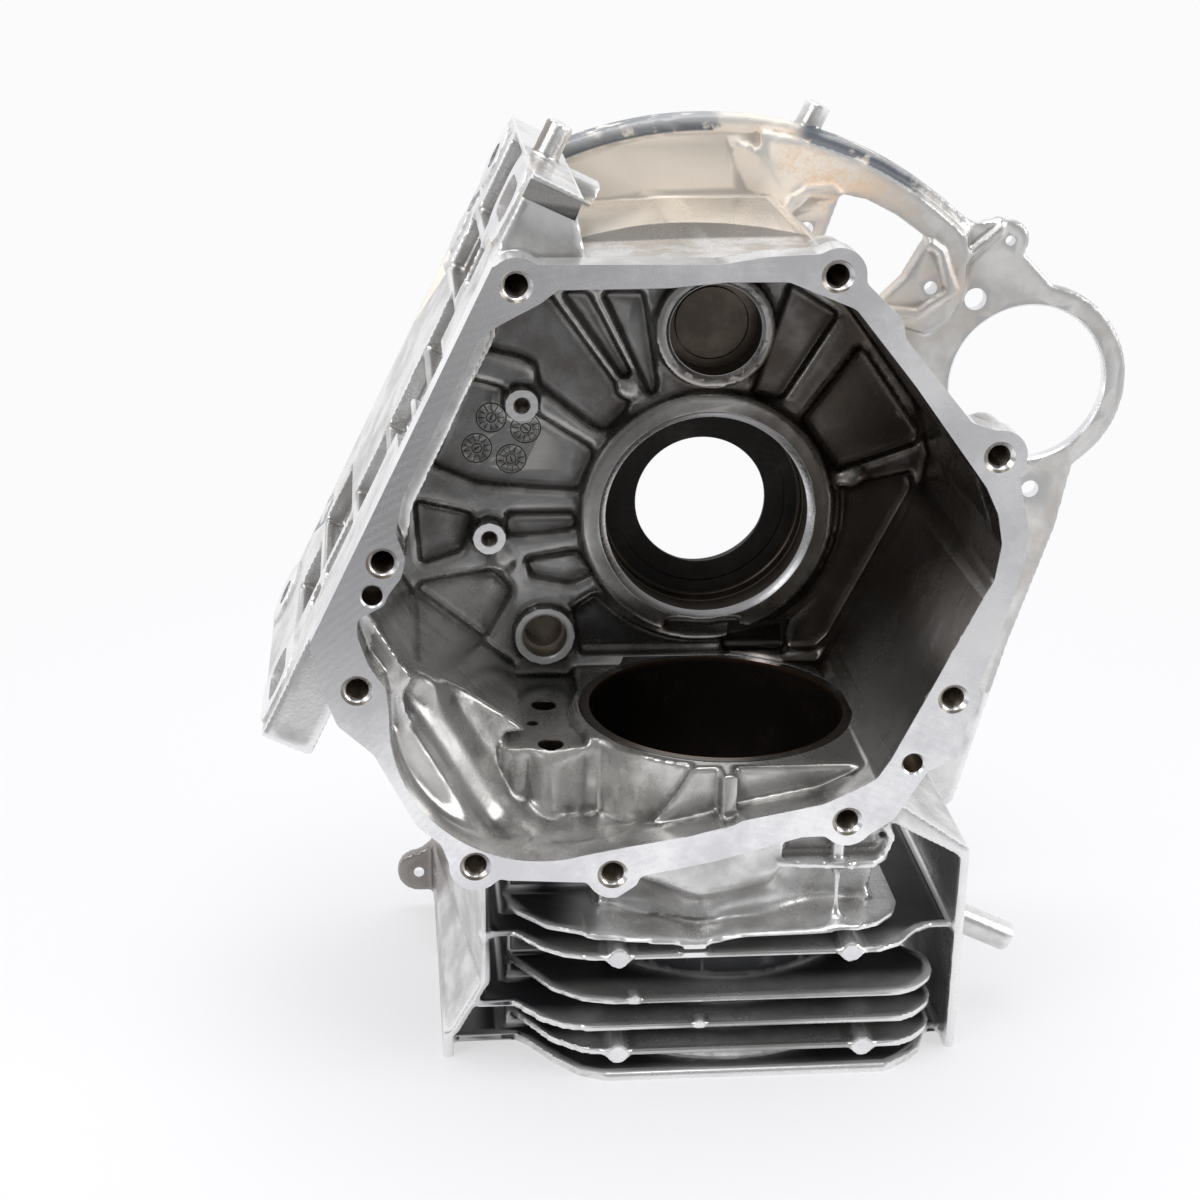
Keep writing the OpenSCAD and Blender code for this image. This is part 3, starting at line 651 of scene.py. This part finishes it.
# Every round hole that is cut after the skin: its places, its axis, the plug (from, to, radius) that fills it in
# the rough casting, and its cuts with their finish, number of sides and profile of (distance along, radius)
def holeTable():
    rear, up = (0, 1, 0), (0, 0, 1)
    front, boss, milled = sizes["coverFace"], sizes["bossFace"], -casting["stock"]
    floor = crank.z - sizes["floorDrop"]
    r, c, b = sizes["bearingRadius"], coverTaps, baseTaps
    wide = c["minor"] + c["chamfer"]
    halfX, halfY = sizes["headPitchX"] / 2, sizes["headPitchY"] / 2
    ringHoles = [(0.097, 0.072, 0.004), (0.123, 0.001, 0.0032), (0.108, 0.093, 0.0018), (-0.102, -0.150, 0.002)]
    return [
        # cover taps
        {"axis": rear, "plug": (milled, 0.0225, 0.0053),
         "places": [atCrank(x, front, z) for x, z in coverHoles], "cuts": [
             turnedCut(shadedBoreSkin, 28, [(-0.003, wide), (0, wide)] + threadProfile(c, 0.0009), c),
             turnedCut(cutFace, 40, [(-0.003, 0.00485), (0, 0.00485), (0.0013, 0.00352), (0.0016, 0.0035)])]},
        # cover dowels
        {"axis": rear, "plug": (milled, 0.0125, 0.0045),
         "places": [atCrank(x, front, z) for x, z in coverDowels], "cuts": [
             turnedCut(cutFace, 32, [(-0.003, 0.00385), (0, 0.00385), (0.0006, 0.00326), (0.0008, 0.0030)]),
             turnedCut(shadedBoreSkin, 32, [(-0.003, 0.00325), (0.012, 0.00325)])]},
        # taps beside the room
        {"axis": rear, "plug": (0.0, 0.0102, 0.0033),
         "places": [atCrank(-0.066, 0.031, 0.042), atCrank(-0.077, 0.031, -0.006)], "cuts": [
             turnedCut(cutFace, 40, [(-0.004, b["face"]), (0.0003, b["face"]), (0.00031, 0.003),
                                     (0.0008, b["minor"] + 0.0001), (0.001, b["minor"])]),
             turnedCut(shadedBoreSkin, 24, [(-0.002, b["minor"])] + threadProfile(b, 0.0), b)]},
        # main bearing
        {"axis": rear, "plug": (0.0, 0.029, r + 0.0032),
         "places": [atCrank(0, boss, 0)], "cuts": [
             turnedCut(cutFace, 128, [(-0.006, r + 0.0024), (0, r + 0.0024), (0.0021, r + 0.0001),
                                      (0.0022, r - 0.001)]),
             turnedCut(shadedSeatSkin, 128, [(-0.006, r), (0.0110, r), (0.0112, r + 0.0006), (0.0122, r + 0.0006),
                                       (0.0124, r), (0.0176, r), (0.018, r - 0.0005)]),
             turnedCut(deepShadeSkin, 128, [(0.0165, r - 0.0011), (0.01805, r - 0.0011), (0.01805, 0.0305),
                                           (0.0192, 0.0305), (0.0192, 0.0238), (0.0195, 0.0235),
                                           (0.021, 0.0235), (0.021, 0.026), (0.033, 0.026)])]},
        # balancer bearing
        {"axis": rear, "plug": (0.0, 0.0142, 0.0184),
         "places": [atCrank(0, 0.031, 0.068)], "cuts": [
             turnedCut(cutFace, 96, [(-0.004, 0.0172), (0, 0.0172), (0.0011, 0.0161), (0.0012, 0.015)]),
             turnedCut(shadedSeatSkin, 96, [(-0.004, 0.016), (0.012, 0.016), (0.012, 0.013), (0.014, 0.013)]),
             turnedCut(shadedSeatSkin, 96, [(0.0117, 0.0125), (0.01405, 0.0125)])]},
        # camshaft
        {"axis": rear, "plug": (-0.0006, 0.0183, 0.0108),
         "places": [atCrank(-0.057, 0.034, -0.044)], "cuts": [
             turnedCut(ringSkin, 64, [(-0.004, 0.0112), (0, 0.0112), (0.00002, 0.0087), (0.0006, 0.0081),
                                      (0.0007, 0.007)]),
             turnedCut(shadedBoreSkin, 64, [(-0.004, 0.008), (0.0075, 0.008), (0.0076, 0.0066), (0.018, 0.0066)])]},
        # starter ring
        {"axis": rear, "plug": (0.0, 0.005, 0.0298),
         "places": [atCrank(0.1185, 0.060, 0.041)], "cuts": [
             turnedCut(cutFace, 96, [(-0.004, 0.0292), (0, 0.0292), (0.0007, 0.0285), (0.0043, 0.0285),
                                     (0.005, 0.0292), (0.009, 0.0292)])]},
    ] + [
        # hole through the plate
        {"axis": rear, "plug": (0.0, 0.005, radius + 0.0008),
         "places": [atCrank(x, 0.060, z)], "cuts": [
             turnedCut(cutFace, 32, [(-0.004, radius), (0.009, radius)])]}
        for x, z, radius in ringHoles
    ] + [
        # posts
        {"axis": rear, "plug": (0.0, 0.009, 0.0031),
         "places": [atCrank(0.034, 0.056, 0.098), atCrank(0.0795, 0.056, 0.077)], "cuts": [
             turnedCut(cutFace, 28, [(-0.006, 0.0024), (0.014, 0.0024)])]},
        # liner's seat
        {"axis": up, "plug": (milled, floor, 0.0484),
         "places": [(0, 0, 0)], "cuts": [
             turnedCut(cutFace, 160, [(-0.004, 0.0471), (floor - 0.0006, 0.0471), (floor, 0.0476),
                                      (floor + 0.003, 0.0476)])]},
        # tappets
        {"axis": up, "plug": (milled, 0.106, 0.0048),
         "places": [(-0.059, y, 0) for y in (-0.0235, 0.0095)], "cuts": [
             turnedCut(shadedSeatSkin, 36, [(-0.004, 0.004), (0.1056, 0.004), (0.106, 0.0044), (0.108, 0.0044)])]},
        # oil hole
        {"axis": up, "plug": (0.094, 0.106, 0.0027),
         "places": [(-0.064, -0.006, 0)], "cuts": [
             turnedCut(shadedBoreSkin, 24, [(0.094, 0.002), (0.108, 0.002)])]},
        # head bolts
        {"axis": up, "plug": (milled, 0.0262, 0.0059),
         "places": [(x, y, 0) for x in (-halfX, halfX) for y in (-halfY, halfY)], "cuts": [
             turnedCut(shadedBoreSkin, 32, [(-0.004, 0.0052), (0, 0.0052), (0.001, 0.00425), (0.026, 0.00425)])]},
        # rear feet
        {"axis": -baseOut, "plug": (milled, 0.0184, 0.0055),
         "places": [basePoint(s, sizes["rearFootY"], 0.0004) for s in slotPlaces], "cuts": [
             turnedCut(cutFace, 36, [(-0.004, 0.0045), (0.030, 0.0045)])]},
    ]


# Slots of the front feet, as bars between two depths below the base plane, and the plugs that fill them first
footSlot = {"width": 0.013, "length": 0.024, "corner": 0.005, "from": -0.026, "to": 0.004}
slotPlug = {"width": 0.0144, "length": 0.0254, "corner": 0.0057, "from": -0.018, "to": casting["stock"]}


# A rounded oblong: arcs of the corner's radius about the four inner corners
def slotBar(s, style):
    angle = np.linspace(0, 2 * np.pi, 32, endpoint=False) + np.pi / 32
    corner = style["corner"]
    u = np.cos(angle) * corner + np.sign(np.cos(angle)) * (style["width"] / 2 - corner)
    v = np.sin(angle) * corner + np.sign(np.sin(angle)) * (style["length"] / 2 - corner)
    oblong = u[:, None] * baseAlong + v[:, None] * np.array((0, 1.0, 0))
    return between(*(np.array(basePoint(s, sizes["slotY"], style[end])) + oblong for end in ("from", "to")))


# Stamps of a casting date, sunk into the rear wall: a ring groove round short marks like a clock's, a small ring
# and one hand, with no figures. Each half is half a mark's length and width.
stamp = {
    "places": [(-0.076, 0.035), (-0.064, 0.031), (-0.081, 0.024), (-0.069, 0.020)],
    "radius": 0.0052,
    "groove": 0.00022,
    "smallRing": (0.0015, 0.0019),
    "wall": 0.0415,
    "raised": 0.0006,
    "sunk": 0.0003,
    "marks": 12,
    "markDistance": 0.0036,
    "markHalf": (0.0011, 0.00014),
    "markTurn": 0.4,
    "handHalf": (0.0011, 0.0002),
    "handTurn": (1.1, 1.3),
}


def stampCutters(style):
    low, high = style["wall"] - style["raised"], style["wall"] + style["sunk"]
    rings = ((style["radius"] - style["groove"], style["radius"] + style["groove"]), style["smallRing"])

    # a mark that points away from the stamp's middle
    def mark(x, z, a, distance, half):
        out, across = np.array((np.cos(a), 0, np.sin(a))), np.array((-np.sin(a), 0, np.cos(a)))
        centre = np.array(atCrank(x, (low + high) / 2, z)) + out * distance
        return block(centre, out * half[0], across * half[1], (0, (high - low) / 2, 0))

    shells = []
    for k, (x, z) in enumerate(style["places"]):
        shells += [ringShell(atCrank(x, 0, z), low, high, inner, outer) for inner, outer in rings]
        turn = np.linspace(0, 2 * np.pi, style["marks"], endpoint=False) + style["markTurn"] * k
        shells += [mark(x, z, a, style["markDistance"], style["markHalf"]) for a in turn]
        shells.append(mark(x, z, style["handTurn"][0] + style["handTurn"][1] * k, 0, style["handHalf"]))
    return shells


# A square-sectioned ring: four circles, joined in turn round the section and round the axis Y
def ringShell(at, low, high, inner, outer, around=40):
    angle = np.linspace(0, 2 * np.pi, around, endpoint=False)
    y, r = np.array([(low, inner), (low, outer), (high, outer), (high, inner)]).T[..., None]
    points = np.stack([at[0] + r * np.cos(angle), y + 0 * angle, at[2] + r * np.sin(angle)], -1)
    index = np.arange(4 * around).reshape(4, around)
    beside, below = np.roll(index, -1, 1), np.roll(index, -1, 0)
    quads = np.stack([index, beside, np.roll(beside, -1, 0), below], -1).reshape(-1, 4)
    return points.reshape(-1, 3), quads.tolist()


# Oil pocket under the bearing boss, sunk from the boss face through the rear wall's front
pocket = {
    "outline": [(0.0094, -0.041), (0.0328, -0.0415), (0.030, -0.054), (0.0087, -0.0505)],
    "front": 0.0340,
    "back": 0.0452,
}
# The upper slot's cut runs on into the case's top, and this closes the top again behind the foot
topFill = {
    "outline": [(-0.0580, 0.1087), (-0.0370, 0.1096), (-0.0370, 0.1036), (-0.0580, 0.1011)],
    "front": -0.0400,
    "back": -0.0140,
}
# Sunk band across the front of the upper foot
footBand = {
    "outline": [(-0.0701, 0.1347), (-0.0725, 0.1291), (-0.0560, 0.1217), (-0.0536, 0.1273)],
    "front": -0.0530,
    "back": -0.0488,
}
# The gap under the dip of the top fin, which the remesh bridges
finGap = {"centre": (-0.0100, -0.0560, 0.0485), "half": (0.0240, 0.0110, 0.0007)}


# An outline of the XZ plane, carried along Y
def prism(style):
    flat = np.array([atCrank(x, 0, z) for x, z in style["outline"]])
    return between(flat + (0, style["front"], 0), flat + (0, style["back"], 0))


def meshPoints(mesh):
    points = np.zeros(len(mesh.vertices) * 3)
    mesh.vertices.foreach_get("co", points)
    return points.reshape(-1, 3)


def putPoints(mesh, points):
    mesh.vertices.foreach_set("co", points.ravel())
    mesh.update()


# The exact solid with stock on its milled faces and all holes filled
def roughCasting(style, holes):
    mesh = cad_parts["crankcase_casting"].data.copy()
    mesh.materials.clear()
    shape = bmesh.new()
    shape.from_mesh(mesh)
    bmesh.ops.remove_doubles(shape, verts=shape.verts, dist=style["merge"])
    shape.to_mesh(mesh)
    shape.free()
    points = meshPoints(mesh)
    near = style["near"]
    upper = points[:, 2] > style["coverFoot"]
    points[(np.abs(points[:, 1] - sizes["coverFace"]) < near) & upper, 1] -= style["stock"]
    points[points[:, 2] < near, 2] -= style["stock"]
    outwards = (points - np.array(crank)) @ np.array(baseOut)
    points[outwards - sizes["baseDistance"] > -near] += style["stock"] * np.array(baseOut)
    putPoints(mesh, points)
    faces = [list(p.vertices) for p in mesh.polygons]
    shells = [(points, faces)]
    for h in holes:
        start, end, radius = h["plug"]
        shells += [turned([(start, radius), (end, radius)], at, h["axis"], 64) for at in h["places"]]
    shells += [slotBar(s, slotPlug) for s in slotPlaces]
    shells.append(prism(topFill))
    bpy.data.meshes.remove(mesh)
    return joined("crankcaseCasting", shells)


# True where a point of the XZ plane lies inside an outline: a level ray crosses an odd number of its edges
def insideOutline(x, z, outline):
    x0, z0 = np.array(outline).T
    x1, z1 = np.roll(x0, -1), np.roll(z0, -1)
    crosses = (z0 > z[:, None]) != (z1 > z[:, None])
    at = x0 + (z[:, None] - z0) * (x1 - x0) / np.where(z1 == z0, 1, z1 - z0)
    return (crosses & (x[:, None] < at)).sum(1) % 2 == 1


# The room inside the flange
roomOutline = [
    (-0.100, -0.040), (-0.121, -0.020), (-0.108, 0.022), (-0.084, 0.080), (-0.078, 0.096), (-0.060, 0.107),
    (0.008, 0.109), (0.030, 0.100), (0.050, 0.076), (0.075, 0.043), (0.081, 0.024), (0.079, 0.006),
    (0.050, -0.051), (0.046, -0.068), (0.0, -0.079), (-0.028, -0.0865), (-0.052, -0.0885), (-0.078, -0.086),
    (-0.108, -0.064), (-0.117, -0.040),
]


# A point at s along the base and inwards from its plane, as (x, z) from the crank
def flatBase(s, inwards):
    place = basePoint(s, 0, -inwards) - crank
    return place.x, place.z


# The middle of the cover flange: along the base, over the top, down the right and round the bowl
bowlArc = {"x": -0.064, "z": -0.034, "radius": 0.0523, "turn": np.radians(np.linspace(-75, -165, 10))}
lipOutline = [flatBase(s, 0.0034) for s in (-0.010, 0.045)] + [
    (-0.0815, 0.095), (-0.063, 0.1075), (-0.014, 0.1092), (0.008, 0.109), (0.018, 0.105), (0.031, 0.099),
    (0.037, 0.091), (0.0505, 0.077), (0.065, 0.056), (0.075, 0.043), (0.0795, 0.034), (0.0812, 0.023),
    (0.0797, 0.010), (0.0762, 0.003), (0.0508, -0.051), (0.0467, -0.0575), (0.039, -0.0630), (0.028, -0.0685),
    (0.0, -0.074), (-0.016, -0.0785),
] + [
    (bowlArc["x"] + bowlArc["radius"] * np.cos(a), bowlArc["z"] + bowlArc["radius"] * np.sin(a))
    for a in bowlArc["turn"]
] + [
    (-0.1175, -0.0235), (-0.1225, -0.016), flatBase(-0.056, 0.0088), flatBase(-0.051, 0.0068),
    flatBase(-0.027, 0.0115), flatBase(-0.019, 0.006),
]


# How far each point stands out from its smoothed surroundings, as 0.5 on a flat, 1 on a ridge and 0 in a hollow;
# the skins paint highlights on ridges and shade in hollows from it
def markRidges(mesh, full=0.00045):
    edges = np.zeros(len(mesh.edges) * 2, np.int64)
    mesh.edges.foreach_get("vertices", edges)
    normals = np.zeros(len(mesh.vertices) * 3)
    mesh.vertices.foreach_get("normal", normals)
    points = meshPoints(mesh)
    lift = ((points - smoothed(points, edges.reshape(-1, 2), 3, back=0.5)) * normals.reshape(-1, 3)).sum(1)
    ridge = mesh.attributes.new("ridge", "FLOAT", "POINT")
    ridge.data.foreach_set("value", np.clip(0.5 + lift / (2 * full), 0, 1).astype(np.float32))


# Where the skin's finishes change, from the crank axis
skinBorders = {
    "lipFront": -0.0638,
    "roomFront": -0.0525,
    "roomRear": 0.0575,
    "plateFront": 0.048,
    "plateFoot": -0.08,
    "plateRadius": (0.06, 0.1368),
    "plateRight": 0.080,
    "plateFacing": 0.3,
}


# The three finishes go by where a face lies: inside the room (the darker copy, painted shade), on the flywheel
# plate's front, or elsewhere
def paintSkin(mesh, style):
    count = len(mesh.polygons)
    centre, normal = np.zeros(count * 3), np.zeros(count * 3)
    mesh.polygons.foreach_get("center", centre)
    mesh.polygons.foreach_get("normal", normal)
    x, y, z = centre.reshape(-1, 3).T
    z = z - crank.z
    inside = insideOutline(x, z, roomOutline) & (y > style["roomFront"]) & (y < style["roomRear"])
    inside |= insideOutline(x, z, lipOutline) & (y > style["lipFront"]) & (y <= style["roomFront"])
    radius, (least, most) = np.hypot(x, z), style["plateRadius"]
    plate = ~inside & (y > style["plateFront"]) & (z > style["plateFoot"]) & (radius > least)
    plate &= normal.reshape(-1, 3)[:, 1] < style["plateFacing"]
    plate &= (radius < most) | (x > style["plateRight"])
    mesh.polygons.foreach_set("material_index", np.where(inside, 1, np.where(plate, 2, 0)).astype(np.int32))


# An edge is also sharp where its two faces have different finishes and one of them is machined
def sharpBetweenFinishes(mesh, lastSkin=2):
    finish, corners = np.zeros(len(mesh.polygons), np.int32), np.zeros(len(mesh.polygons), np.int32)
    edge, sharp = np.zeros(len(mesh.loops), np.int32), np.zeros(len(mesh.edges), bool)
    mesh.polygons.foreach_get("material_index", finish)
    mesh.polygons.foreach_get("loop_total", corners)
    mesh.loops.foreach_get("edge_index", edge)
    mesh.edges.foreach_get("use_edge_sharp", sharp)
    side = np.repeat(finish, corners)
    least, most = np.full(len(mesh.edges), 99), np.full(len(mesh.edges), -1)
    np.minimum.at(least, edge, side)
    np.maximum.at(most, edge, side)
    sharp |= (least != most) & (most > lastSkin)
    mesh.edges.foreach_set("use_edge_sharp", sharp)


# Cutters for the milled planes: their reach, their half thickness, and the cover's cut above the fins, whose
# fronts lie a step behind it
milling = {
    "far": 0.4,
    "half": 0.05,
    "coverMiddle": 0.264,
    "coverHalf": 0.2,
    "finStep": 0.0006,
    "finTop": 0.063,
}


# Rises from 0 to 1 while the value goes from start by width, which may be negative
def ramp(value, start, width):
    return np.clip((value - start) / width, 0, 1)


# The even skin, softer inside the room, in the bowl and on the apron in front of the barrel
def softenedCasting(thing, style):
    withModifier(thing, "REMESH", mode="VOXEL", voxel_size=style["voxel"], adaptivity=0.0)
    mesh = thing.data
    edges = np.zeros(len(mesh.edges) * 2, np.int64)
    mesh.edges.foreach_get("vertices", edges)
    edges = edges.reshape(-1, 2)
    points = smoothed(meshPoints(mesh), edges, style["smoothing"])
    x, y, z = points.T
    z = z - crank.z
    wall = insideOutline(x, z, roomOutline) & (y > style["wallFront"]) & (y < style["wallRear"])
    panel = wall & (y > style["panelFront"])
    bowl = (ramp(y, *style["bowlFront"]) * ramp(y, *style["bowlRear"])
            * ramp(z, *style["bowlTop"]) * ramp(x, *style["bowlRight"]) * wall)
    apron = (ramp(np.abs(x), *style["apronSide"]) * ramp(z, *style["apronFoot"])
             * ramp(z, *style["apronTop"]) * (y < style["apronRear"]))
    points = smoothed(points, edges, style["wallSmoothing"], wall[:, None])
    for weight, rounds in ((panel, "panelSmoothing"), (bowl, "bowlSmoothing"), (apron, "apronSmoothing")):
        points = smoothed(points, edges, style[rounds], weight[:, None], back=0.5)
    putPoints(mesh, points)
    print("remeshed", len(mesh.polygons))
    withModifier(thing, "DECIMATE", ratio=style["triangles"] / (2 * len(mesh.polygons)))


def milledPlanes(thing, style):
    far, half, cover = style["far"], style["half"], sizes["coverFace"]
    coverBlock = block((0, cover - half, style["coverMiddle"]), *np.diag((far, half, style["coverHalf"])))
    cutBy(thing, "coverCut", [coverBlock], cutFace)
    finBlock = block((0, cover - half - style["finStep"], 0), *np.diag((far, half, style["finTop"])))
    cutBy(thing, "discCut", [finBlock], cutFace)
    cutBy(thing, "deckCut", [block((0, 0, -half), *np.diag((far, far, half)))], cutFace)
    out = np.array(baseOut)
    centre = np.array(crank) + out * (sizes["baseDistance"] + half)
    cutBy(thing, "baseCut", [block(centre, out * half, baseAlong * far, (0, far, 0))], cutFace)


def machinedCasting(style):
    holes = holeTable()
    thing = roughCasting(style, holes)
    softenedCasting(thing, style)
    for material in (outsideSkin, shadedInsideSkin, plateSkin):
        thing.data.materials.append(material)
    paintSkin(thing.data, skinBorders)
    milledPlanes(thing, milling)
    cutBy(thing, "slotCut", [slotBar(s, footSlot) for s in slotPlaces], outsideSkin)
    for face in (cutFace, ringSkin, shadedBoreSkin, shadedSeatSkin, deepShadeSkin):
        shells = [turned(cut["profile"], at, h["axis"], cut["around"], cut["pitch"], cut["depth"])
                  for h in holes for at in h["places"] for cut in h["cuts"] if cut["face"] is face]
        cutBy(thing, "holeCut", shells, face)
        print("holes cut", face.name, len(thing.data.polygons))
    # the stamps and the pocket take the black finish: painted shade
    cutBy(thing, "stampCut", stampCutters(stamp), deepShadeSkin)
    cutBy(thing, "pocketCut", [prism(pocket)], deepShadeSkin)
    # the sunk band takes the inside skin's painted shade
    cutBy(thing, "bandCut", [prism(footBand)], shadedInsideSkin)
    cutBy(thing, "gapCut", [block(finGap["centre"], *np.diag(finGap["half"]))], outsideSkin)
    lowest, highest = (np.array(corner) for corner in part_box("crankcase_casting"))
    putPoints(thing.data, np.clip(meshPoints(thing.data), lowest, highest))
    markRidges(thing.data)
    thing.data.shade_smooth()
    thing.data.set_sharp_from_angle(angle=np.radians(style["sharpFrom"]))
    sharpBetweenFinishes(thing.data)
    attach(thing, "root")
    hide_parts("crankcase_casting")
    print("casting made", len(thing.data.polygons), [m.name for m in thing.data.materials])


machinedCasting(casting)
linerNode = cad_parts["cylinder_liner"]
linerNode.data.materials.clear()
linerNode.data.materials.append(ironFace)


# Floor, light and camera
studio = {
    "floorRadius": 60.0,
    "floor": grey(0.84, 0.84, 0.865),
    "fadeFrom": 0.22,
    "fadeTo": 0.60,
    "least": 0.60,
    "dim": 0.20,
    "sideLight": 0.45,
    "sideFade": (-0.15, 0.32),
    "tableFade": (-0.46, -0.27),
    "front": 0.28,
    "roomFade": (-0.55, 0.35),
    "white": grey(0.965, 0.965, 0.975),
}


# White away from the part, and a plain lit floor under it that keeps its shadow. In front, the table falls off
# from white to a soft grey, less so on the right, and bare metal shows that too.
def makeFloor(style):
    f = Finish("paleFloor")
    x, y, z = f.axes(f.place)
    length = f.add("ShaderNodeVectorMath", {"operation": "LENGTH"}, {"Vector": f.place}, "Value")
    away = style["least"] + (1 - style["least"]) * f.step(length, style["fadeFrom"], style["fadeTo"])
    rays = f.add("ShaderNodeLightPath").socket.node.outputs
    fromCamera = Wire(f.tree, rays["Is Camera Ray"])
    shown = fromCamera + Wire(f.tree, rays["Is Glossy Ray"]) + Wire(f.tree, rays["Is Transmission Ray"])
    dim = style["dim"] + style["sideLight"] * f.step(x, *style["sideFade"])
    strength = f.either(dim + f.step(y, *style["tableFade"]) * (1 - dim), fromCamera)
    diffuse = f.add("ShaderNodeBsdfDiffuse", None, {"Color": style["floor"]})
    white = f.add("ShaderNodeEmission", None, {"Color": style["white"], "Strength": strength})
    mix = f.add("ShaderNodeMixShader", None, {0: away * shown.math("MINIMUM", 1.0), 1: diffuse, 2: white})
    f.add("ShaderNodeOutputMaterial", None, {"Surface": mix})
    reach = style["floorRadius"]
    corners = [(-reach, -reach, 0), (reach, -reach, 0), (reach, reach, 0), (-reach, reach, 0)]
    newObject("floor", corners, [(0, 1, 2, 3)], f.material)


# A white sweep behind and beside the part, fading to a dimmer room in front of it
def makeWorld(style):
    world = bpy.data.worlds.new("studio")
    world.use_nodes = True
    n = Nodes(world.node_tree)
    way = n.axes(n.add("ShaderNodeTexCoord", out="Generated"))
    strength = style["front"] + n.step(way[1], *style["roomFade"]) * (1 - style["front"])
    isCameraRay = n.add("ShaderNodeLightPath")  # its first output
    strength = n.either(strength, isCameraRay)
    room = n.add("ShaderNodeBackground", None, {"Color": style["white"], "Strength": strength})
    n.add("ShaderNodeOutputWorld", None, {"Surface": room})
    bpy.context.scene.world = world


lamps = {
    "topSoft": {"place": (-0.1, -0.1, 1.5), "size": 1.1, "power": 11},
    "leftSoft": {"place": (-1.2, -0.9, 0.9), "size": 0.7, "power": 6},
    "rightSoft": {"place": (1.2, -0.5, 0.7), "size": 0.7, "power": 6},
}
lampAim = Vector((0, 0, 0.15))


def makeLamp(name, style):
    light = bpy.data.lights.new(name, "AREA")
    light.shape, light.size, light.energy = "SQUARE", style["size"], style["power"]
    thing = bpy.data.objects.new(name, light)
    thing.location = style["place"]
    thing.rotation_euler = (lampAim - Vector(style["place"])).to_track_quat("-Z", "Y").to_euler()
    bpy.context.scene.collection.objects.link(thing)


camera = {
    "place": (-0.1150, -0.7196, 0.4210),
    "pitchDown": 20.64,
    "yaw": 5.87,
    "roll": 1.22,
    "focalPixels": 2280.3,
    "framePixels": 1200,
    "sensor": 36.0,
    "clip": (0.02, 30),
}


def makeCamera(style):
    pitch, yaw, roll = np.radians([style["pitchDown"], style["yaw"], style["roll"]])
    ahead = Vector((np.sin(yaw) * np.cos(pitch), np.cos(yaw) * np.cos(pitch), -np.sin(pitch)))
    level = Vector((np.cos(yaw), -np.sin(yaw), 0))
    above = level.cross(ahead)
    right = level * np.cos(roll) + above * np.sin(roll)
    up = above * np.cos(roll) - level * np.sin(roll)
    data = bpy.data.cameras.new("photoCamera")
    data.sensor_width = style["sensor"]
    data.lens = style["focalPixels"] / style["framePixels"] * style["sensor"]
    data.clip_start, data.clip_end = style["clip"]
    thing = bpy.data.objects.new("photoCamera", data)
    thing.matrix_world = Matrix((
        (right.x, up.x, -ahead.x, style["place"][0]), (right.y, up.y, -ahead.y, style["place"][1]),
        (right.z, up.z, -ahead.z, style["place"][2]), (0, 0, 0, 1)))
    bpy.context.scene.collection.objects.link(thing)
    bpy.context.scene.camera = thing


makeFloor(studio)
makeWorld(studio)
for name, style in lamps.items():
    makeLamp(name, style)
makeCamera(camera)
bpy.context.scene.view_settings.view_transform = "Standard"
print("stage set")
